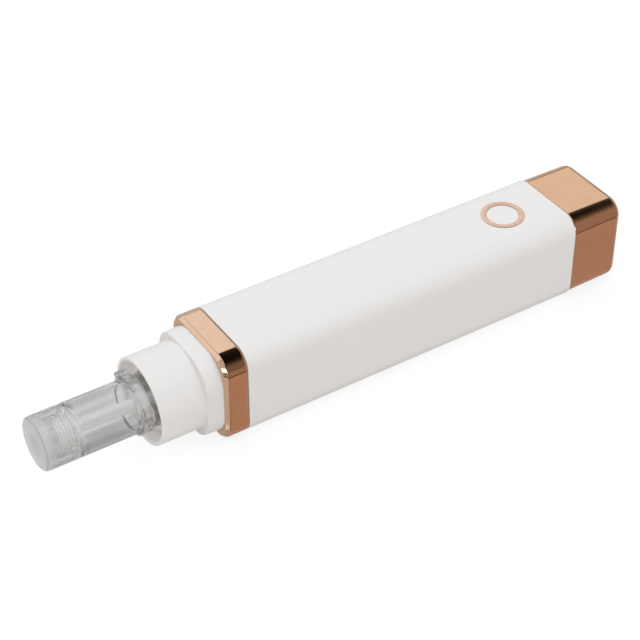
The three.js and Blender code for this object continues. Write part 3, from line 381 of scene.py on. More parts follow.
def turned(name, corners, closed=True, steps=128, round_steps=4):
    """Solid turned about the pen's long axis."""
    profile = rounded(corners, closed, round_steps)
    return skin(name, [circle(x, radius, steps) for x, radius, _ in profile], closed=closed)


def turned_upright(name, x, corners, closed=True, steps=96):
    """Solid turned about an upright axis at x, from corners that start with a height."""
    rings = [
        [(along, y, height) for height, along, y in circle(up, radius, steps, x, 0.0)]
        for up, radius, _ in rounded(corners, closed)
    ]
    return skin(name, rings, closed=closed)


def carve(piece, tool, operation="DIFFERENCE"):
    """Cuts the tool out of the piece, or joins it on, and removes the tool."""
    change = piece.modifiers.new("Carve", "BOOLEAN")
    change.operation = operation
    change.solver = "EXACT"
    change.object = tool
    bpy.context.view_layer.update()
    mesh = bpy.data.meshes.new_from_object(piece.evaluated_get(bpy.context.evaluated_depsgraph_get()))
    piece.modifiers.clear()
    old = piece.data
    piece.data = mesh
    bpy.data.meshes.remove(old)
    mesh.name = piece.name
    bpy.data.meshes.remove(tool.data)


def dress(piece, body, slot, material, *nodes):
    """Shades the piece smoothly and puts it in the place of its solids."""
    mesh = piece.data
    mesh.shade_smooth()
    mesh.set_sharp_from_angle(angle=SMOOTH_ANGLE)
    piece.modifiers.new("Weighted Normals", "WEIGHTED_NORMAL").keep_sharp = True
    mesh.materials.clear()
    mesh.materials.append(material)
    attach(piece, body)
    if nodes:
        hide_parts(*nodes)
    return piece


def let_light_in(piece):
    """Lets light reach what stands inside a thin or clear moulding."""
    piece.visible_shadow = False
    piece.visible_diffuse = False


def finish_solids(material, *nodes):
    """Gives solids that keep their own shape their material."""
    for name in nodes:
        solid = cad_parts[name]
        if not solid.material_slots:
            solid.data.materials.append(material)
        for place in solid.material_slots:
            place.material = material


# Material work


class Nodes:
    """A node tree and short ways to add to it. A value is a number, a colour or a node's output."""

    def __init__(self, tree):
        self.tree = tree

    def add(self, kind, inputs=None, **settings):
        """New shader node of that kind, with its settings and the values on its inputs."""
        node = self.tree.nodes.new("ShaderNode" + kind)
        for name, value in settings.items():
            setattr(node, name, value)
        for name, value in (inputs or {}).items():
            if isinstance(value, bpy.types.NodeSocket):
                self.tree.links.new(value, node.inputs[name])
            else:
                node.inputs[name].default_value = value
        return node

    def math(self, operation, value, *others):
        """Works through the values from left to right."""
        for other in others or (0.0,):
            value = self.add("Math", {0: value, 1: other}, operation=operation).outputs[0]
        return value

    def times(self, *values):
        return self.math("MULTIPLY", *values)

    def plus(self, *values):
        return self.math("ADD", *values)

    def most(self, *values):
        return self.math("MAXIMUM", *values)

    def less(self, value):
        """What the value leaves of one."""
        return self.math("SUBTRACT", 1.0, value)

    def fade(self, value, low, high, start=0.0, end=1.0, shape="LINEAR"):
        """Goes from start to end as the value goes from low to high."""
        inputs = {"Value": value, "From Min": low, "From Max": high, "To Min": start, "To Max": end}
        return self.add("MapRange", inputs, interpolation_type=shape).outputs["Result"]

    def ease(self, *band):
        """The same fade, slow at both ends."""
        return self.fade(*band, shape="SMOOTHSTEP")

    def mix(self, factor, first, second):
        return self.add("Mix", {0: factor, 2: first, 3: second}).outputs[0]

    def mix_colors(self, factor, first, second):
        return self.add("Mix", {0: factor, 6: first, 7: second}, data_type="RGBA").outputs[2]

    def vector(self, operation, *values, output="Vector"):
        return self.add("VectorMath", dict(enumerate(values)), operation=operation).outputs[output]

    def scaled(self, value, scale):
        return self.add("VectorMath", {0: value, "Scale": scale}, operation="SCALE").outputs["Vector"]

    def stretched(self, place, along, across):
        """The place with one scale along the pen and another across it."""
        scale = self.add("CombineXYZ", {"X": along, "Y": across, "Z": across})
        return self.vector("MULTIPLY", place, scale.outputs[0])

    def parts(self, value):
        return self.add("SeparateXYZ", {0: value}).outputs

    def coordinates(self, kind):
        return self.add("TexCoord").outputs[kind]

    def place(self):
        """Where the point is, in millimetres."""
        return self.scaled(self.coordinates("Object"), 1 / MM)

    def noise(self, place, scale, detail, distortion=0.0):
        inputs = {"Vector": place, "Scale": scale, "Detail": detail, "Distortion": distortion}
        return self.add("TexNoise", inputs).outputs["Fac"]

    def use(self, effect_group, values):
        """Places an effect with its own values and gives its outputs."""
        return self.add("Group", values, node_tree=effect_group).outputs

    def reflected(self, path):
        """Whether the ray was mirrored by a surface, not bent by a clear one."""
        return self.times(path["Is Glossy Ray"], self.less(path["Is Transmission Ray"]))


class Surface(Nodes):
    """The nodes of a new material and its shader."""

    def __init__(self, name):
        self.material = bpy.data.materials.new(name)
        self.material.use_nodes = True
        super().__init__(self.material.node_tree)
        self.shader = self.tree.nodes["Principled BSDF"]

    def base(self, color, roughness, metallic=0.0, plain=None):
        """Sets what is the same all over the surface."""
        self.color, self.roughness = tuple(color), roughness
        self.material.diffuse_color = (*color, 1.0)
        values = {"Base Color": (*color, 1.0), "Roughness": roughness, "Metallic": metallic}
        for label, value in {**values, **(plain or {})}.items():
            self.shader.inputs[label].default_value = value

    def link(self, label, value):
        self.tree.links.new(value, self.shader.inputs[label])

    def toned(self, tone, color=None):
        """Multiplies the colour by a tone that changes over the surface."""
        self.link("Base Color", self.scaled(color or self.color, tone))

    def bumped(self, height, millimetres):
        bump = self.add("Bump", {"Height": height, "Distance": millimetres * MM})
        self.link("Normal", bump.outputs[0])

    def marked(self, marks, depth, color=None):
        """Takes tone, gloss and height from an effect."""
        self.toned(marks["Tone"], color)
        self.link("Roughness", self.plus(marks["Gloss"], self.roughness))
        self.bumped(marks["Height"], depth)

    def plastic(self, color, roughness, mottle=0.02, plain=None):
        """Moulded plastic."""
        self.base(color, roughness, plain=plain)
        values = {"Grain Size": 0.22, "Mottle": mottle, "Gloss Change": 0.06}
        self.marked(self.use(moulded_grain(), values), 0.0012)

    def metal(self, color, roughness, along=0.05, across=6.0, depth=0.001):
        """Drawn, turned or brushed metal."""
        self.base(color, roughness, 1.0)
        values = {"Along": along, "Across": across, "Smudge": 0.03}
        self.marked(self.use(polish_marks(), values), depth)


def effect(name, inputs, outputs):
    """Turns the function below it, which wires the outputs, into one that gives a group built once."""

    def wrap(wire):
        def give():
            if name not in bpy.data.node_groups:
                tree = bpy.data.node_groups.new(name, "ShaderNodeTree")
                for label, value in inputs.items():
                    socket = tree.interface.new_socket(label, in_out="INPUT", socket_type="NodeSocketFloat")
                    socket.default_value = value
                for label in outputs:
                    tree.interface.new_socket(label, in_out="OUTPUT", socket_type="NodeSocketFloat")
                given, made = tree.nodes.new("NodeGroupInput"), tree.nodes.new("NodeGroupOutput")
                for label, value in zip(outputs, wire(Nodes(tree), given.outputs)):
                    tree.links.new(value, made.inputs[label])
            return bpy.data.node_groups[name]

        return give

    return wrap


def finish(name, settings):
    """Turns the function below it, which wires a material, into one that gives the material, made once."""

    def wrap(wire):
        def give():
            if name not in bpy.data.materials:
                wire(Surface(name), getattr(bpy.context.scene, settings))
            return bpy.data.materials[name]

        return give

    return wrap


@effect(
    "Moulded Grain",
    {"Grain Size": 0.2, "Grain Depth": 1.0, "Mottle Size": 9.0, "Mottle": 0.02, "Gloss Change": 0.04},
    ("Height", "Tone", "Gloss"),
)
def moulded_grain(nodes, given):
    """Fine grain of moulded plastic, with a slow change of tone and of gloss."""
    place = nodes.place()
    grain = nodes.noise(place, nodes.math("DIVIDE", 1.0, given["Grain Size"]), 2.0)
    mottle = nodes.noise(place, nodes.math("DIVIDE", 1.0, given["Mottle Size"]), 3.0)
    wander = nodes.math("SUBTRACT", mottle, 0.5)
    tone = nodes.plus(nodes.times(wander, given["Mottle"]), 1.0)
    return nodes.times(grain, given["Grain Depth"]), tone, nodes.times(wander, given["Gloss Change"])


@effect(
    "Polish Marks",
    {"Along": 0.05, "Across": 6.0, "Depth": 1.0, "Smudge Size": 6.0, "Smudge": 0.03},
    ("Height", "Gloss", "Tone"),
)
def polish_marks(nodes, given):
    """Hairlines and soft smudges on polished or brushed metal."""
    place = nodes.place()
    lines = nodes.noise(nodes.stretched(place, given["Along"], given["Across"]), 1.0, 3.0)
    smudge = nodes.noise(place, nodes.math("DIVIDE", 1.0, given["Smudge Size"]), 4.0, 0.6)
    haze = nodes.ease(smudge, 0.42, 0.68)
    smudge_shade = 0.04
    tone = nodes.less(nodes.times(haze, smudge_shade))
    return nodes.times(lines, given["Depth"]), nodes.times(haze, given["Smudge"]), tone


@effect(
    "Flow Streaks",
    {"Streak Width": 2.6, "Low": 0.96, "High": 1.02, "Shade": 0.2, "Edge": 0.25, "Radius": 7.0},
    ("Tone", "Height", "Rim"),
)
def flow_streaks_and_painted_shade(nodes, given):
    """Soft streaks of tone along a clear moulding, with painted shade: darker low on its near side, in ripples
    across it and towards its silhouettes.
    """
    place = nodes.place()
    width = nodes.math("DIVIDE", 1.0, given["Streak Width"])
    stretch, ripple_rate, ripple_shade = 0.06, 16.5, 0.26
    streaks = nodes.noise(nodes.stretched(place, nodes.times(width, stretch), width), 1.0, 2.0)
    soft = nodes.ease(streaks, 0.32, 0.68)
    tone = nodes.mix(soft, given["Low"], given["High"])
    # Painted shade across the moulding, by height as seen from the camera: darker low on the near side, in
    # ripples, and towards the silhouette by the Edge amount.
    from_axis = nodes.vector("SUBTRACT", place, (0.0, 0.0, AXIS_HEIGHT / MM))
    far_and_up = (0.0, 0.695, 0.719)
    across = nodes.vector("DOT_PRODUCT", from_axis, far_and_up, output="Value")
    level = nodes.math("DIVIDE", across, given["Radius"])
    low, high = nodes.ease(level, -0.2, -0.62), nodes.ease(level, -0.12, 0.12, 0.0, 0.33)
    painted_ripple = nodes.times(nodes.math("COSINE", nodes.times(level, ripple_rate)), ripple_shade)
    painted_shading = nodes.less(nodes.times(nodes.plus(low, high, painted_ripple), given["Shade"]))
    rim = nodes.ease(nodes.math("ABSOLUTE", level), 0.72, 0.92)
    edge = nodes.less(nodes.times(rim, given["Edge"]))
    return nodes.times(tone, nodes.times(painted_shading, edge)), soft, rim


@finish("White Plastic", "pen_housing")
def white_plastic(nodes, s):
    nodes.plastic(s.white, s.white_roughness, plain={"Specular Tint": COOL})


# Painted shade: white plastic made greyer for the socket and retaining ring in shade inside the sleeve; the
# switch plunger takes it too.
@finish("Grey Plastic", "pen_adjuster")
def grey_plastic(nodes, s):
    nodes.plastic(s.grey, 0.5, mottle=0.06)


@finish("Black Plastic", "pen_power")
def black_plastic(nodes, s):
    nodes.plastic(s.black, 0.45, mottle=0.15)


@finish("Wire", "pen_power")
def wire_cover(nodes, s):
    nodes.plastic(s.wire, 0.4, mottle=0.1)


@finish("Natural Plastic", "pen_cartridge")
def natural_plastic(nodes, s):
    nodes.plastic((0.72, 0.715, 0.705), 0.45, mottle=0.05)


@finish("Silicone", "pen_cartridge")
def silicone(nodes, s):
    nodes.plastic((0.72, 0.74, 0.74), 0.55, mottle=0.05, plain={"IOR": 1.41, "Transmission Weight": 0.4})


@finish("Steel", "pen_drive")
def steel(nodes, s):
    nodes.metal(s.steel, 0.22)


@finish("Brushed Rose Gold", "pen_button")
def brushed_gold(nodes, s):
    nodes.metal(s.ring_gold, 0.2, along=5.0, across=5.0, depth=0.0015)


@finish("Rose Gold", "pen_housing")
def rose_gold(nodes, s):
    """Polished plating, with painted shade: a deeper colour on its flat sides than on top and on its bevels, in
    place of the darker reflections there.
    """
    nodes.base(s.gold, s.gold_roughness, 1.0)
    marks = nodes.use(polish_marks(), {"Smudge": 0.03})
    facing = nodes.parts(nodes.coordinates("Normal"))
    flat = nodes.fade(nodes.math("ABSOLUTE", facing["X"]), 0.1, 0.45, 1.0, 0.0)
    # Painted shade: faces that point neither up nor along the pen take the deeper colour.
    aside = nodes.times(nodes.fade(facing["Z"], 0.98, 0.8), flat)
    nodes.marked(marks, 0.0004, nodes.mix_colors(aside, (*s.gold, 1.0), (*s.painted_shade_gold, 1.0)))


@finish("Clear Plastic", "pen_cartridge")
def clear_plastic(nodes, s):
    """Clear moulding, hazier ahead of its flange, with flow lines along it, painted shade across the tube and
    painted highlights on the ribs.
    """
    nodes.base(s.clear, s.clear_roughness, plain={
        "IOR": 1.5, "Transmission Weight": 1.0, "Specular Tint": COOL,
    })
    front = Extent("cartridge_barrel").front
    shoulder, flange = (front + s.shoulder) / MM, (front + s.flange_front) / MM
    along = nodes.parts(nodes.place())["X"]
    flow = nodes.use(flow_streaks_and_painted_shade(), {"Shade": s.shade, "Radius": s.tube_radius / MM})
    bare = nodes.fade(along, shoulder - 0.6, shoulder)
    ribs_front, ribs_rear = front / MM + NOSE_LIP, shoulder - s.seat_length / MM
    # Painted highlights and shade on the ribs: bright crests and dark grooves in the tone.
    wave = nodes.math("COSINE", nodes.fade(along, ribs_front, ribs_rear, 0.0, TURN * s.rib_count))
    ribbed = nodes.ease(wave, -0.1, 0.45, 1.2, 0.62)
    # Painted shade from the streaks effect, faded out towards the flange.
    by_flange = nodes.fade(along, flange - 5.5, flange - 1.5, 0.0, 0.7)
    tube = nodes.mix(nodes.times(by_flange, nodes.less(flow["Rim"])), flow["Tone"], 1.0)
    nodes.toned(nodes.mix(bare, ribbed, tube))
    marks = nodes.use(polish_marks(), {"Along": 0.1, "Across": 1.5, "Smudge": 0.015})
    haze = nodes.times(bare, nodes.ease(along, flange - 1.5, flange - 7.0), s.tube_haze)
    nodes.link("Roughness", nodes.plus(marks["Gloss"], s.clear_roughness, haze))
    rim = nodes.fade(along, flange - 0.4, flange - 0.2, 1.0, s.rim_alpha)
    into_seam = nodes.fade(along, shoulder - 0.4, shoulder - 0.2, 1.0, s.seam_alpha)
    out_of_seam = nodes.fade(along, shoulder + 0.3, shoulder + 1.5, s.seam_alpha, 1.0)
    nodes.link("Alpha", nodes.times(rim, nodes.most(into_seam, out_of_seam, flow["Rim"])))
    nodes.bumped(flow["Height"], 0.002)


@finish("Cap Plastic", "pen_cartridge")
def cap_plastic(nodes, s):
    """Cap moulding: clear sides and a frosted front, with painted shade: darker at the middle of its front, in
    a line round its front edge and towards its silhouettes.
    """
    nodes.base(s.frost, s.frost_roughness, plain={
        "IOR": 1.4, "Transmission Weight": 0.86, "Specular Tint": COOL,
    })
    cap = Extent("tip_cap")
    front, rear = cap.front / MM, cap.rear / MM
    to_ribs = (front + 2.2, front + 3.8)
    place = nodes.place()
    along = nodes.parts(place)["X"]
    across = nodes.vector("MULTIPLY", place, (0.0, 1.0, 1.0))
    from_axis = nodes.vector("SUBTRACT", across, (0.0, 0.0, AXIS_HEIGHT / MM))
    # Painted shade: the front is darker, most of all at its middle.
    face = nodes.ease(nodes.vector("LENGTH", from_axis, output="Value"), 1.0, 4.5, 0.7, 0.87)
    haze = nodes.use(moulded_grain(), {"Grain Size": 0.3, "Mottle": 0.05, "Gloss Change": 0.03})
    # Painted shade from the streaks effect, darker towards the silhouettes.
    flow = nodes.use(flow_streaks_and_painted_shade(), {"Shade": 0.06, "Edge": 0.35, "Radius": cap.half / MM})
    side = nodes.mix(nodes.ease(along, front + 0.5, front + 1.0), face, flow["Tone"])
    # Painted dark line round the front edge, a little brighter behind it.
    into_line = nodes.fade(along, front + 0.15, front + 0.32, 1.0, 0.5)
    out_of_line = nodes.fade(along, front + 0.32, front + 0.6, 0.5, 1.04)
    nodes.toned(nodes.times(haze["Tone"], side, nodes.most(into_line, out_of_line)))
    frosted = nodes.ease(along, *to_ribs, 0.32, s.frost_roughness)
    nodes.link("Roughness", nodes.plus(haze["Gloss"], frosted))
    over_ribs = nodes.fade(along, *to_ribs, 1.0, s.side_alpha)
    ends = nodes.fade(along, rear - 0.6, rear - 0.3, 0.95, s.side_alpha)
    nodes.link("Alpha", nodes.most(over_ribs, nodes.times(flow["Rim"], ends)))
    nodes.bumped(haze["Height"], 0.001)


@finish("Sintered Bronze", "pen_drive")
def sintered_bronze(nodes, s):
    """Bronze pressed from powder, dark in its pores."""
    nodes.base(s.bronze, 0.42, 1.0)
    pores = nodes.use(moulded_grain(), {"Grain Size": 0.12, "Mottle Size": 0.3, "Mottle": 0.5})
    nodes.toned(pores["Tone"])
    nodes.bumped(pores["Height"], 0.01)


@finish("Circuit Board", "pen_power")
def circuit_board_finish(nodes, s):
    """Solder mask with its tracks, and black chips where the solid stands above it."""
    mask = Vector(s.board)
    nodes.base(mask, 0.35)
    board_top = Extent("switch_body").bottom / MM
    place = nodes.place()
    chip = nodes.fade(nodes.parts(place)["Z"], board_top + 0.05, board_top + 0.1)
    tracks = nodes.add("TexBrick", {
        "Vector": place, "Scale": 1.0, "Mortar Size": 0.12, "Brick Width": 4.6, "Row Height": 0.9,
        "Color1": (*mask, 1.0), "Color2": (*(mask * 0.92), 1.0), "Mortar": (*(mask * 2.2), 1.0),
    })
    grain = nodes.use(moulded_grain(), {"Grain Size": 0.15, "Mottle": 0.2})
    chip_black = (0.015, 0.015, 0.016, 1.0)
    nodes.link("Base Color", nodes.mix_colors(chip, tracks.outputs["Color"], chip_black))
    nodes.link("Roughness", nodes.fade(chip, 0.0, 1.0, 0.3, 0.6))
    nodes.bumped(grain["Height"], 0.004)


@finish("Cell Wrap", "pen_power")
def cell_finish(nodes, s):
    """Shrink wrap that leaves the cell's metal ends bare."""
    nodes.base(s.wrap, 0.3)
    cell = Extent("battery_cell")
    front, rear = cell.front / MM, cell.rear / MM
    along = nodes.parts(nodes.place())["X"]
    wrapped = nodes.times(
        nodes.fade(along, front + 1.3, front + 1.35), nodes.fade(along, rear - 0.45, rear - 0.5)
    )
    creases = nodes.use(polish_marks(), {"Along": 0.2, "Across": 1.2, "Smudge": 0.1})
    nodes.link("Base Color", nodes.mix_colors(wrapped, (0.6, 0.6, 0.6, 1.0), (*s.wrap, 1.0)))
    nodes.link("Metallic", nodes.less(wrapped))
    nodes.link("Roughness", nodes.plus(creases["Gloss"], 0.28))
    nodes.bumped(creases["Height"], 0.01)


# Pieces


class PEN_OT_housing(bpy.types.Operator):
    """Build the shell, collar, nose base and end cap"""

    bl_idname = "pen.housing"
    bl_label = "Housing"
    bl_options = {"REGISTER", "UNDO"}

    def execute(self, context):
        s = context.scene.pen_housing
        self.shell(s, context.scene.pen_button)
        self.collar(s)
        self.nose(s, context.scene.pen_adjuster)
        self.end_cap(s)
        return {"FINISHED"}

    def shell(self, s, button):
        body, ring = Extent("body_shell"), Extent("button_bezel")
        core, inside = body.half - s.corner, body.half - s.wall
        piece = moulded("shell", [
            (body.front, body.half, s.front_round, core),
            (body.rear, body.half, s.rear_round, core),
            (body.rear, inside, 0.0, core),
            (body.front, inside, 0.0, core),
        ])
        hole = ring.half - button.ring_width + s.bond_gap
        seat, seat_bottom = ring.half + button.ring_gap, body.top - button.ring_thickness
        lead = 0.005 * MM
        carve(piece, turned_upright("seat", ring.middle.x, [
            (AXIS_HEIGHT, 0.0),
            (AXIS_HEIGHT, hole),
            (seat_bottom, hole),
            (seat_bottom, seat),
            (body.top - lead, seat),
            (body.top + lead, seat + 2 * lead),
            (body.top + lead, 0.0),
        ], closed=False))
        dress(piece, "housing", "white_plastic", white_plastic(), "body_shell")

    def collar(self, s):
        collar = Extent("front_collar")
        core = collar.half - s.corner
        opening = Extent("nose_base").half + s.bond_gap
        opening_core = opening - s.opening_corner
        plug = collar.half - s.wall
        plug_core = plug - s.plug_corner - s.bond_gap
        piece = moulded("collar", [
            (collar.front, collar.half - s.bevel_width, s.edge_break, core),
            (collar.front + s.bevel_length, collar.half, s.bevel_round, core),
            (collar.rear, collar.half, s.collar_round, core),
            (collar.rear, plug, 0.0, plug_core),
            (collar.rear - s.collar_lip, plug, 0.0, plug_core),
            (collar.rear - s.collar_lip, opening, 0.0, opening_core),
            (collar.front, opening, s.edge_break / 2, opening_core),
        ], steps=24)
        dress(piece, "housing", "rose_gold", rose_gold(), "front_collar")

    def nose(self, s, adjuster):
        nose, collar = Extent("nose_base"), Extent("front_collar")
        ring, sleeve = Extent("retaining_ring"), Extent("depth_sleeve")
        step, land = sleeve.rear + s.sleeve_gap, sleeve.rear + s.sleeve_land
        land_half, front_half = sleeve.half - s.land_inset, nose.half - s.nose_taper
        corner = s.opening_corner - s.bond_gap
        plug = collar.half - s.wall - s.bond_gap
        plug_core, plug_inside = plug - s.plug_corner, plug - s.plug_wall
        lip = collar.rear - s.collar_lip
        bore_end = collar.front + s.bore_back
        bulkhead_rear = bore_end + s.bulkhead
        piece = moulded("nose", [
            (nose.front, s.boss_bore, 0.1 * MM),
            (nose.front, s.ring_seat, 0.1 * MM),
            (ring.rear, s.ring_seat),
            (ring.rear, s.boss_radius, 0.1 * MM),
            (land, s.boss_radius),
            (land, land_half),
            (step, land_half),
            (step, front_half, s.nose_edge, front_half - corner),
            (collar.front, nose.half, 0.0, nose.half - corner),
            (lip, nose.half, 0.0, nose.half - corner),
            (lip, plug, 0.0, plug_core),
            (nose.rear, plug, 0.2 * MM, plug_core),
            (nose.rear, plug_inside, 0.2 * MM, plug_core),
            (bulkhead_rear, plug_inside, 0.0, plug_core),
            (bulkhead_rear, s.hub_radius),
            (bulkhead_rear + s.hub_rise, s.hub_radius, 0.2 * MM),
            (bulkhead_rear + s.hub_rise, s.hub_bore),
            (bore_end, s.hub_bore),
            (bore_end, s.boss_bore),
        ], steps=24)
        half_slot = adjuster.pin_radius + adjuster.slide_gap
        pin = sleeve.rear - adjuster.pin_setback
        reach = s.boss_radius + 0.3 * MM
        outline = rectangle(half_slot, -reach, reach)
        ends = (pin - adjuster.travel - half_slot, pin + half_slot)
        carve(piece, skin("slot", [flat_ring(x, outline) for x in ends]))
        dress(piece, "housing", "white_plastic", white_plastic(), "nose_base")

    def end_cap(self, s):
        cap, shell, port = Extent("rear_cap"), Extent("body_shell"), Extent("charging_port")
        core = shell.half - s.corner
        rear_half = cap.half - s.cap_taper
        room = rear_half - s.cap_wall
        room_core = room - s.corner + s.cap_wall
        lip = shell.half - s.wall - s.bond_gap
        lip_inside = lip - s.cap_lip_wall
        step, inner_end = shell.rear + s.cap_lip_wall, cap.rear - s.cap_wall
        piece = moulded("end_cap", [
            (inner_end, room / 2, 0.0, room / 4),
            (inner_end, room, 0.5 * MM, room_core),
            (step, room, 0.0, room_core),
            (step, lip_inside, 0.0, core),
            (cap.front, lip_inside, 0.15 * MM, core),
            (cap.front, lip, 0.15 * MM, core),
            (shell.rear, lip, 0.0, core),
            (shell.rear, cap.half, s.cap_front_round, core),
            (cap.rear, rear_half, s.cap_edge, core),
            (cap.rear, rear_half / 2, 0.0, core / 2),
        ], closed=False, steps=20)
        hole = []
        for x, grow in (
            (inner_end - 2 * MM, 0.0), (cap.rear - 0.2 * MM, 0.0), (cap.rear + 0.1 * MM, 0.3 * MM),
        ):
            gap = s.port_gap + grow
            outline = stadium(2 * (port.half + s.port_gap + grow), port.height + 2 * gap)
            hole.append(flat_ring(x, outline, port.middle.z))
        carve(piece, skin("hole", hole))
        dress(piece, "housing", "rose_gold", rose_gold(), "rear_cap")


class PEN_OT_button(bpy.types.Operator):
    """Build the rose-gold ring and the flush button"""

    bl_idname = "pen.button"
    bl_label = "Power Button"
    bl_options = {"REGISTER", "UNDO"}

    def execute(self, context):
        s = context.scene.pen_button
        ring, disc = Extent("button_bezel"), Extent("power_button")
        bore = ring.half - s.ring_width
        piece = turned_upright("button_ring", ring.middle.x, [
            (ring.bottom, bore, 0.03 * MM),
            (ring.bottom, ring.half, 0.03 * MM),
            (ring.top, ring.half, s.ring_round),
            (ring.top, bore, s.ring_round),
        ])
        dress(piece, "housing", "rose_gold", brushed_gold(), "button_bezel")
        radius, flange_top = bore - s.disc_gap, disc.bottom + s.disc_flange
        dish = [
            (disc.top - s.disc_dish * (1 - (part / 0.9) ** 2), radius * part)
            for part in (0.82, 0.6, 0.4, 0.2, 0.0)
        ]
        piece = turned_upright("button_disc", ring.middle.x, [
            (disc.bottom, 0.0),
            (disc.bottom, disc.half, 0.08 * MM),
            (flange_top, disc.half, 0.08 * MM),
            (flange_top, radius),
            (disc.top, radius, s.disc_round),
            *dish,
        ], closed=False)
        dress(piece, "button", "white_plastic", white_plastic(), "power_button")
        finish_solids(grey_plastic(), "switch_plunger")
        return {"FINISHED"}


class PEN_OT_adjuster(bpy.types.Operator):
    """Build the turning sleeve, its retaining ring and the cartridge socket"""

    bl_idname = "pen.adjuster"
    bl_label = "Depth Adjuster"
    bl_options = {"REGISTER", "UNDO"}

    def execute(self, context):
        s, housing = context.scene.pen_adjuster, context.scene.pen_housing
        self.sleeve(s)
        ring = Extent("retaining_ring")
        inside = housing.ring_seat + housing.bond_gap
        piece = turned("keeper_ring", [
            (ring.front, inside, 0.1 * MM),
            (ring.front, ring.half, 0.25 * MM),
            (ring.rear, ring.half, 0.1 * MM),
            (ring.rear, inside),
        ])
        dress(piece, "housing", "grey_plastic", grey_plastic(), "retaining_ring")
        self.socket(s)
        finish_solids(steel(), "socket_pin_1", "socket_pin_2")
        return {"FINISHED"}

    def sleeve(self, s):
        sleeve = Extent("depth_sleeve")
        mouth, step = sleeve.half - s.sleeve_mouth, sleeve.front + s.sleeve_step
        piece = turned("sleeve", [
            (sleeve.front, sleeve.half, s.sleeve_edge),
            (sleeve.rear, sleeve.half, 0.08 * MM),
            (sleeve.rear, s.sleeve_bore, 0.1 * MM),
            (step, s.sleeve_bore),
            (step, mouth),
            (sleeve.front, mouth, 0.25 * MM),
        ], steps=160, round_steps=5)
        for start in (math.pi / 2, 3 * math.pi / 2):
            carve(piece, self.groove(s, sleeve, start))
        dress(piece, "sleeve", "white_plastic", white_plastic(), "depth_sleeve")
        let_light_in(piece)

    def groove(self, s, sleeve, start):
        """Cutter for one helical groove, which the socket's pin runs in."""
        half = s.pin_radius + s.slide_gap
        inner, outer = s.sleeve_bore - s.slide_gap, s.sleeve_bore + s.groove_depth
        end = half / inner
        middle = sleeve.rear - s.pin_setback
        steps = 48
        rings = []
        for i in range(steps + 1):
            turned_by = -s.full_turn - end + (s.full_turn + 2 * end) * i / steps
            x = middle + s.travel / s.full_turn * turned_by
            angle = start + turned_by
            rings.append([
                (x + along, radius * math.cos(angle), AXIS_HEIGHT + radius * math.sin(angle))
                for along, radius in ((-half, inner), (half, inner), (half, outer), (-half, outer))
            ])
        return skin("groove", rings)

    def socket(self, s):
        socket, pin = Extent("cartridge_socket"), Extent("socket_pin_1")
        inner_end = socket.rear - s.socket_end
        piece = turned("socket_cup", [
            (socket.front, s.socket_bore, 0.4 * MM),
            (socket.front, socket.half, 0.15 * MM),
            (socket.rear, socket.half, 0.2 * MM),
            (socket.rear, s.rod_hole, 0.1 * MM),
            (inner_end, s.rod_hole, 0.1 * MM),
            (inner_end, s.socket_bore),
        ])
        radius, top = s.pin_radius + 0.1 * MM, 2 * AXIS_HEIGHT
        hole = [(0.0, 0.0), (0.0, radius), (top, radius), (top, 0.0)]
        carve(piece, turned_upright("pin_hole", pin.middle.x, hole, closed=False, steps=32))
        dress(piece, "socket", "grey_plastic", grey_plastic(), "cartridge_socket")


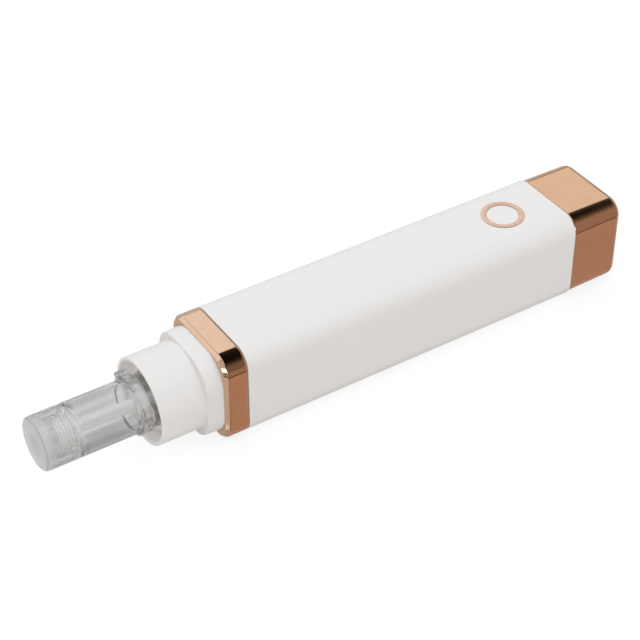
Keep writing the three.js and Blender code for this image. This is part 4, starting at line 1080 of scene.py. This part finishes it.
class PEN_OT_cartridge(bpy.types.Operator):
    """Build the clear cartridge, its needles and plunger, and the push-on cap"""

    bl_idname = "pen.cartridge"
    bl_label = "Needle Cartridge"
    bl_options = {"REGISTER", "UNDO"}

    def execute(self, context):
        s = context.scene.pen_cartridge
        self.barrel(s)
        self.needles(s)
        self.plunger(s)
        self.cap(s)
        return {"FINISHED"}

    def barrel(self, s):
        whole = Extent("cartridge_barrel")
        shoulder = whole.front + s.shoulder
        shoulder_inside = shoulder + 0.5 * MM
        ribs_front, ribs_rear = whole.front + NOSE_LIP * MM, shoulder - s.seat_length
        flange_front = whole.front + s.flange_front
        flange_rear = flange_front + s.flange_length
        nose_bore, groove = s.nose_radius - s.nose_wall, s.nose_radius - s.rib_depth
        bore, spigot_bore = s.tube_radius - s.wall, s.spigot_radius - s.wall
        pitch = (ribs_rear - ribs_front) / s.rib_count
        rib = (
            (0.08, groove, 0.05), (0.3, s.nose_radius, 0.08),
            (0.7, s.nose_radius, 0.08), (0.92, groove, 0.05),
        )
        ribs = [
            (ribs_front + pitch * i + part * pitch, half, size * MM)
            for i in range(s.rib_count)
            for part, half, size in rib
        ]
        flare_steps = 8
        flare = []
        for i in range(flare_steps + 1):
            angle = i / flare_steps * math.pi / 2
            widening = (s.flange_radius - s.tube_radius) * (1 - math.cos(angle))
            flare.append((flange_front - s.flare * (1 - math.sin(angle)), s.tube_radius + widening))
        piece = turned("barrel", [
            (whole.front, nose_bore, 0.12 * MM),
            (whole.front, groove, 0.12 * MM),
            *ribs,
            (ribs_rear, groove, 0.05 * MM),
            (ribs_rear, s.seat_radius, 0.1 * MM),
            (shoulder, s.seat_radius, 0.05 * MM),
            (shoulder, s.tube_radius, 0.08 * MM),
            *flare,
            (flange_rear, s.flange_radius, 0.2 * MM),
            (flange_rear, s.spigot_radius, 0.1 * MM),
            (whole.rear, s.spigot_radius, 0.2 * MM),
            (whole.rear, spigot_bore, 0.1 * MM),
            (flange_rear, spigot_bore),
            (flange_rear, bore),
            (shoulder_inside, bore, 0.3 * MM),
            (shoulder_inside, nose_bore, 0.1 * MM),
        ], round_steps=3)
        for i in range(s.lug_count):
            angle = s.first_lug + TURN * i / s.lug_count
            carve(piece, self.lug(s, flange_front + s.lug_setback, angle), "UNION")
        dress(piece, "cartridge", "clear_plastic", clear_plastic(), "cartridge_barrel")
        let_light_in(piece)

    def lug(self, s, front, angle):
        """Locking lug on the flange, with soft corners."""
        outer = Extent("cartridge_socket").half + 0.4 * MM
        inner = s.flange_radius - s.wall / 2
        steps = 10
        rings = []
        for i in range(steps + 1):
            at = angle + s.lug_width * (i / steps - 0.5)
            ease = 0.12 * MM if i in (0, steps) else 0.0
            near, far, top = front + ease, front + s.lug_length - ease, outer - ease
            rings.append([
                (x, radius * math.cos(at), AXIS_HEIGHT + radius * math.sin(at))
                for x, radius in ((near, inner), (far, inner), (far, top), (near, top))
            ])
        return skin("lug", rings)

    def needles(self, s):
        """All needles are one piece, because they move as one with their block."""
        nodes = [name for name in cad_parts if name.startswith("needle_") and name != "needle_block"]
        parts = []
        for needle in map(Extent, nodes):
            profile = (
                (needle.front, 0.002 * MM),
                (needle.front + 0.45 * s.needle_point, 0.55 * s.needle_radius),
                (needle.front + s.needle_point, s.needle_radius),
                (needle.rear, s.needle_radius),
            )
            parts.append([circle(x, radius, 12, needle.middle.y, needle.middle.z) for x, radius in profile])
        dress(skin("needle_points", *parts), "needles", "steel", steel(), *nodes)

    def plunger(self, s):
        block, stem, membrane = Extent("needle_block"), Extent("plunger_stem"), Extent("safety_membrane")
        piece = turned("needle_carrier", [
            (block.front, 0.0),
            (block.front, block.half, 0.25 * MM),
            (block.rear, block.half, 0.25 * MM),
            (block.rear, 0.0),
        ], closed=False, steps=96)
        dress(piece, "needles", "white_plastic", natural_plastic(), "needle_block")
        hub_front = Extent("cartridge_barrel").front + s.flange_front + s.hub_front
        hub_rear = hub_front + s.hub_length
        piece = turned("plunger", [
            (stem.front, 0.0),
            (stem.front, s.stem_radius),
            (hub_front, s.stem_radius, 0.2 * MM),
            (hub_front, stem.half, 0.15 * MM),
            (hub_rear, stem.half, 0.15 * MM),
            (hub_rear, s.stem_radius, 0.2 * MM),
            (stem.rear, s.stem_radius, 0.25 * MM),
            (stem.rear, 0.0),
        ], closed=False, steps=96)
        dress(piece, "needles", "white_plastic", natural_plastic(), "plunger_stem")
        inside = s.stem_radius + 0.3 * MM
        piece = turned("membrane", [
            (membrane.front, inside, 0.1 * MM),
            (membrane.front, membrane.half, 0.1 * MM),
            (membrane.rear, membrane.half, 0.1 * MM),
            (membrane.rear, inside, 0.1 * MM),
        ], steps=96)
        dress(piece, "cartridge", "silicone", silicone(), "safety_membrane")

    def cap(self, s):
        cap = Extent("tip_cap")
        bore, face = s.seat_radius + 0.2 * MM, cap.half - s.cap_edge
        inner_face = cap.front + s.cap_wall
        dish = [
            (cap.front + s.cap_dish * (1 - (part / 0.95) ** 2), face * part)
            for part in (0.0, 0.2, 0.4, 0.6, 0.8)
        ]
        piece = turned("push_on_cap", [
            *dish,
            (cap.front, cap.half, s.cap_edge),
            (cap.rear, cap.half, 0.08 * MM),
            (cap.rear, bore, 0.15 * MM),
            (inner_face, bore, 0.4 * MM),
            (inner_face, 0.0),
        ], closed=False, round_steps=6)
        dress(piece, "cap", "frosted_plastic", cap_plastic(), "tip_cap")
        let_light_in(piece)


class PEN_OT_drive(bpy.types.Operator):
    """Finish the motor, cam, rod and bush, and wind the return spring"""

    bl_idname = "pen.drive"
    bl_label = "Drive"
    bl_options = {"REGISTER", "UNDO"}

    def execute(self, context):
        s = context.scene.pen_drive
        finish_solids(
            steel(), "drive_rod", "motor_shaft", "motor_can", "motor_bracket",
            "motor_screw_1", "motor_screw_2",
        )
        finish_solids(sintered_bronze(), "guide_bush")
        finish_solids(black_plastic(), "swash_cam")
        spring = Extent("return_spring")
        radius = spring.half - s.spring_wire
        front, rear = spring.front + s.spring_wire, spring.rear - s.spring_wire
        slope = (rear - front) / (TURN * s.spring_turns * radius)
        steps, wire_steps = 98, 12
        rings = []
        for i in range(steps + 1):
            angle = TURN * s.spring_turns * i / steps
            outward = Vector((0.0, math.cos(angle), math.sin(angle)))
            centre = Vector((
                front + (rear - front) * i / steps,
                radius * math.cos(angle),
                AXIS_HEIGHT + radius * math.sin(angle),
            ))
            along = Vector((slope, -math.sin(angle), math.cos(angle))).normalized()
            across = along.cross(outward)
            rings.append([
                centre + s.spring_wire * (outward * math.cos(t) + across * math.sin(t))
                for t in (TURN * k / wire_steps for k in range(wire_steps))
            ])
        piece = dress(skin("coil_spring", rings), "housing", "steel", steel(), "return_spring")
        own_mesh(piece)
        return {"FINISHED"}


class PEN_OT_power(bpy.types.Operator):
    """Finish the chassis, cell and board, and build the charging port"""

    bl_idname = "pen.power"
    bl_label = "Power"
    bl_options = {"REGISTER", "UNDO"}

    def execute(self, context):
        finish_solids(black_plastic(), "inner_chassis", "switch_body")
        screws = [f"board_screw_{i}" for i in range(1, 5)]
        finish_solids(steel(), "front_battery_tab", "rear_battery_tab", *screws)
        finish_solids(circuit_board_finish(), "circuit_board")
        finish_solids(cell_finish(), "battery_cell")
        finish_solids(wire_cover(), "motor_lead_1", "motor_lead_2")
        self.port(context.scene.pen_power)
        return {"FINISHED"}

    def port(self, s):
        port, tongue = Extent("charging_port"), Extent("port_tongue")
        wall, ease = s.port_shell, 0.12 * MM
        rings = []
        for x, inset in (
            (port.front, ease), (port.front + ease, 0.0), (port.rear - 0.08 * MM, 0.0),
            (port.rear, 0.08 * MM), (port.rear, wall - 0.06 * MM), (port.rear - 0.06 * MM, wall),
            (port.front + wall, wall),
        ):
            outline = stadium(2 * port.half - 2 * inset, port.height - 2 * inset)
            rings.append(flat_ring(x, outline, port.middle.z))
        dress(skin("port_shell", rings), "housing", "steel", steel(), "charging_port")
        half_height = tongue.height / 2
        rings = []
        for x, inset in ((tongue.front, 0.0), (tongue.rear - ease, 0.0), (tongue.rear, ease)):
            up = half_height - inset
            rings.append(flat_ring(x, rectangle(tongue.half - inset, -up, up), tongue.middle.z))
        dress(skin("port_tab", rings), "housing", "black_plastic", black_plastic(), "port_tongue")
        low, high = half_height - 0.03 * MM, half_height + 0.04 * MM
        ends = (tongue.rear - 3.2 * MM, tongue.rear - 0.5 * MM)
        contacts = []
        for bottom, top in ((low, high), (-high, -low)):
            for i in range(s.contact_count):
                y = (i - (s.contact_count - 1) / 2) * s.contact_pitch
                outline = rectangle(s.contact_width / 2, bottom, top, y)
                contacts.append([flat_ring(x, outline, tongue.middle.z) for x in ends])
        dress(skin("port_contacts", *contacts), "housing", "rose_gold", brushed_gold())


# Stage


class PEN_OT_stage(bpy.types.Operator):
    """Set up the pale floor, the soft light and the camera"""

    bl_idname = "pen.stage"
    bl_label = "Stage"
    bl_options = {"REGISTER", "UNDO"}

    def execute(self, context):
        s, scene = context.scene.pen_stage, context.scene
        scene.view_settings.view_transform = "Standard"
        self.floor(s)
        self.world(scene, s)
        self.lamp(s)
        self.camera(scene, s)
        return {"FINISHED"}

    def floor(self, s):
        """Pale floor, seen as near white. Mirrored rays see light and dark areas painted round the pen."""
        half = s.floor_size / 2
        mesh = bpy.data.meshes.new("floor")
        corners = [(-half, -half, 0.0), (half, -half, 0.0), (half, half, 0.0), (-half, half, 0.0)]
        mesh.from_pydata(corners, [], [(0, 1, 2, 3)])
        material = bpy.data.materials.new("Floor")
        material.use_nodes = True
        nodes = Nodes(material.node_tree)
        nodes.tree.nodes.clear()
        fade, ease = nodes.fade, nodes.ease
        path = nodes.add("LightPath").outputs
        along, sideways, _ = nodes.parts(nodes.coordinates("Object"))
        aside = nodes.math("ABSOLUTE", sideways)
        collar = Extent("front_collar").front
        under_side, body_tone, back_tone, tip_tone = 0.05, 0.49, 0.62, 0.6
        edge = (0.041, 0.045)
        body = nodes.most(
            fade(along, collar + 0.5 * MM, collar + 1.5 * MM, under_side, body_tone),
            fade(aside, 0.0175, 0.0165, 0.0, body_tone),
        )
        body = nodes.mix(ease(sideways, -0.014, 0.014), body, back_tone)
        tip = nodes.times(
            fade(along, collar - 3.3 * MM, collar - 4.3 * MM, 0.0, tip_tone), fade(sideways, -0.010, -0.014)
        )
        near = nodes.times(nodes.plus(body, tip), ease(aside, *edge, 1.0, 0.0))
        far = nodes.most(
            nodes.plus(fade(aside, *edge, 0.0, 0.1), fade(aside, 0.049, 0.057, 0.0, 0.27)),
            fade(sideways, 0.038, 0.042, 0.0, back_tone),
        )
        painted = nodes.add("Emission", {"Color": WHITE, "Strength": nodes.plus(near, far)})
        plain = nodes.add("BsdfDiffuse", {"Color": (*s.floor_color, 1.0)})
        unseen = nodes.add("MixShader", {
            0: nodes.reflected(path), 1: plain.outputs[0], 2: painted.outputs[0],
        })
        shaded = nodes.add("BsdfDiffuse", {"Color": (0.2, 0.2, 0.2, 1.0)})
        glow = nodes.add("Emission", {"Color": WHITE, "Strength": 0.83})
        bright = nodes.add("AddShader", {0: shaded.outputs[0], 1: glow.outputs[0]})
        seen = nodes.most(path["Is Camera Ray"], nodes.times(path["Is Transmission Ray"], 0.3))
        whole = nodes.add("MixShader", {0: seen, 1: unseen.outputs[0], 2: bright.outputs[0]})
        nodes.add("OutputMaterial", {"Surface": whole.outputs[0]})
        mesh.materials.append(material)
        new_object("floor", mesh)

    def world(self, scene, s):
        """Even light on everything, with a bright back wall and a dark ceiling in what shines."""
        scene.world = bpy.data.worlds.new("Studio")
        scene.world.use_nodes = True
        nodes = Nodes(scene.world.node_tree)
        fade, ease, times, most = nodes.fade, nodes.ease, nodes.times, nodes.most
        path = nodes.add("LightPath").outputs
        side, back, up = nodes.parts(nodes.coordinates("Generated"))
        foot = most(ease(up, 0.33, 0.47), times(fade(up, 0.05, 0.18), fade(back, 0.74, 0.70)))
        wall = times(foot, ease(up, 0.73, 0.66), ease(back, 0.2, 0.45), ease(side, 0.72, 0.62, 0.42, 1.0))
        behind = times(ease(side, -0.3, -0.42), fade(back, 0.0, 0.2))
        left = times(
            fade(side, -0.12, -0.22, 0.0, 3.0), fade(side, -0.94, -0.9),
            fade(back, 0.0, -0.2), fade(up, 0.3, 0.24),
        )
        tip = times(fade(side, -0.7, -0.78, 0.0, 0.62), fade(up, 0.75, 0.6))
        overhead = ease(up, 0.945, 0.985, 0.0, 0.85)
        ceiling = times(fade(up, 0.66, 0.8), ease(side, 0.34, 0.22, 0.0, 0.85))
        bright = most(wall, behind, left, tip, most(overhead, ceiling))
        room = most(
            fade(side, 0.4, 0.52, 0.2, 0.4),
            fade(back, -0.1, 0.2, 0.0, 0.42),
            fade(back, 0.74, 0.8, 0.0, 0.68),
        )
        dim = times(ease(up, 0.86, 0.38, 0.02, 1.0), room)
        cold, warm = (1.02, 1.1, 1.18, 1.0), (0.94, 0.93, 0.88, 1.0)
        mirrored = nodes.scaled(nodes.mix_colors(fade(side, 0.4, 0.54), cold, warm), most(bright, dim))
        seen = most(path["Is Camera Ray"], path["Is Transmission Ray"])
        color = nodes.mix_colors(nodes.reflected(path), nodes.mix(seen, s.fill, 1.0), mirrored)
        nodes.tree.links.new(color, nodes.tree.nodes["Background"].inputs["Color"])

    def lamp(self, s):
        data = bpy.data.lights.new("soft_lamp", "AREA")
        data.energy, data.size = s.lamp_power, s.lamp_size
        lamp = new_object("soft_lamp", data)
        lamp.location = s.lamp_place
        lamp.rotation_euler = lamp.location.to_track_quat("Z", "Y").to_euler()
        lamp.visible_glossy = False

    def camera(self, scene, s):
        data = bpy.data.cameras.new("camera")
        data.lens, data.sensor_width, data.clip_start = s.lens, SENSOR_WIDTH, 0.01
        camera = new_object("camera", data)
        back = Vector(s.back).normalized()
        camera.location = Vector(s.target) + back * s.distance
        camera.rotation_euler = back.to_track_quat("Z", "Y").to_euler()
        scene.camera = camera


class PEN_PT_pieces(bpy.types.Panel):
    """Lists the pen's pieces and their settings"""

    bl_idname = "PEN_PT_pieces"
    bl_label = "Microneedling Pen"
    bl_space_type = "VIEW_3D"
    bl_region_type = "UI"
    bl_category = "Needling Pen"

    def draw(self, context):
        for operator, settings, _ in PARTS:
            box = self.layout.box()
            box.operator(operator.bl_idname)
            group = getattr(context.scene, settings)
            for name in group.bl_rna.properties.keys():
                if name not in {"rna_type", "name"}:
                    box.prop(group, name)


PARTS = (
    (PEN_OT_stage, "pen_stage", StageSettings),
    (PEN_OT_housing, "pen_housing", HousingSettings),
    (PEN_OT_button, "pen_button", ButtonSettings),
    (PEN_OT_adjuster, "pen_adjuster", AdjusterSettings),
    (PEN_OT_cartridge, "pen_cartridge", CartridgeSettings),
    (PEN_OT_drive, "pen_drive", DriveSettings),
    (PEN_OT_power, "pen_power", PowerSettings),
)


def register():
    for operator, name, settings in PARTS:
        bpy.utils.register_class(settings)
        bpy.utils.register_class(operator)
        setattr(bpy.types.Scene, name, PointerProperty(type=settings))
    bpy.utils.register_class(PEN_PT_pieces)


def unregister():
    bpy.utils.unregister_class(PEN_PT_pieces)
    for operator, name, settings in reversed(PARTS):
        delattr(bpy.types.Scene, name)
        bpy.utils.unregister_class(operator)
        bpy.utils.unregister_class(settings)


def main():
    register()
    bpy.ops.pen.stage()
    bpy.ops.pen.housing()
    bpy.ops.pen.button()
    bpy.ops.pen.adjuster()
    bpy.ops.pen.cartridge()
    bpy.ops.pen.drive()
    bpy.ops.pen.power()


if __name__ == "__main__":
    main()
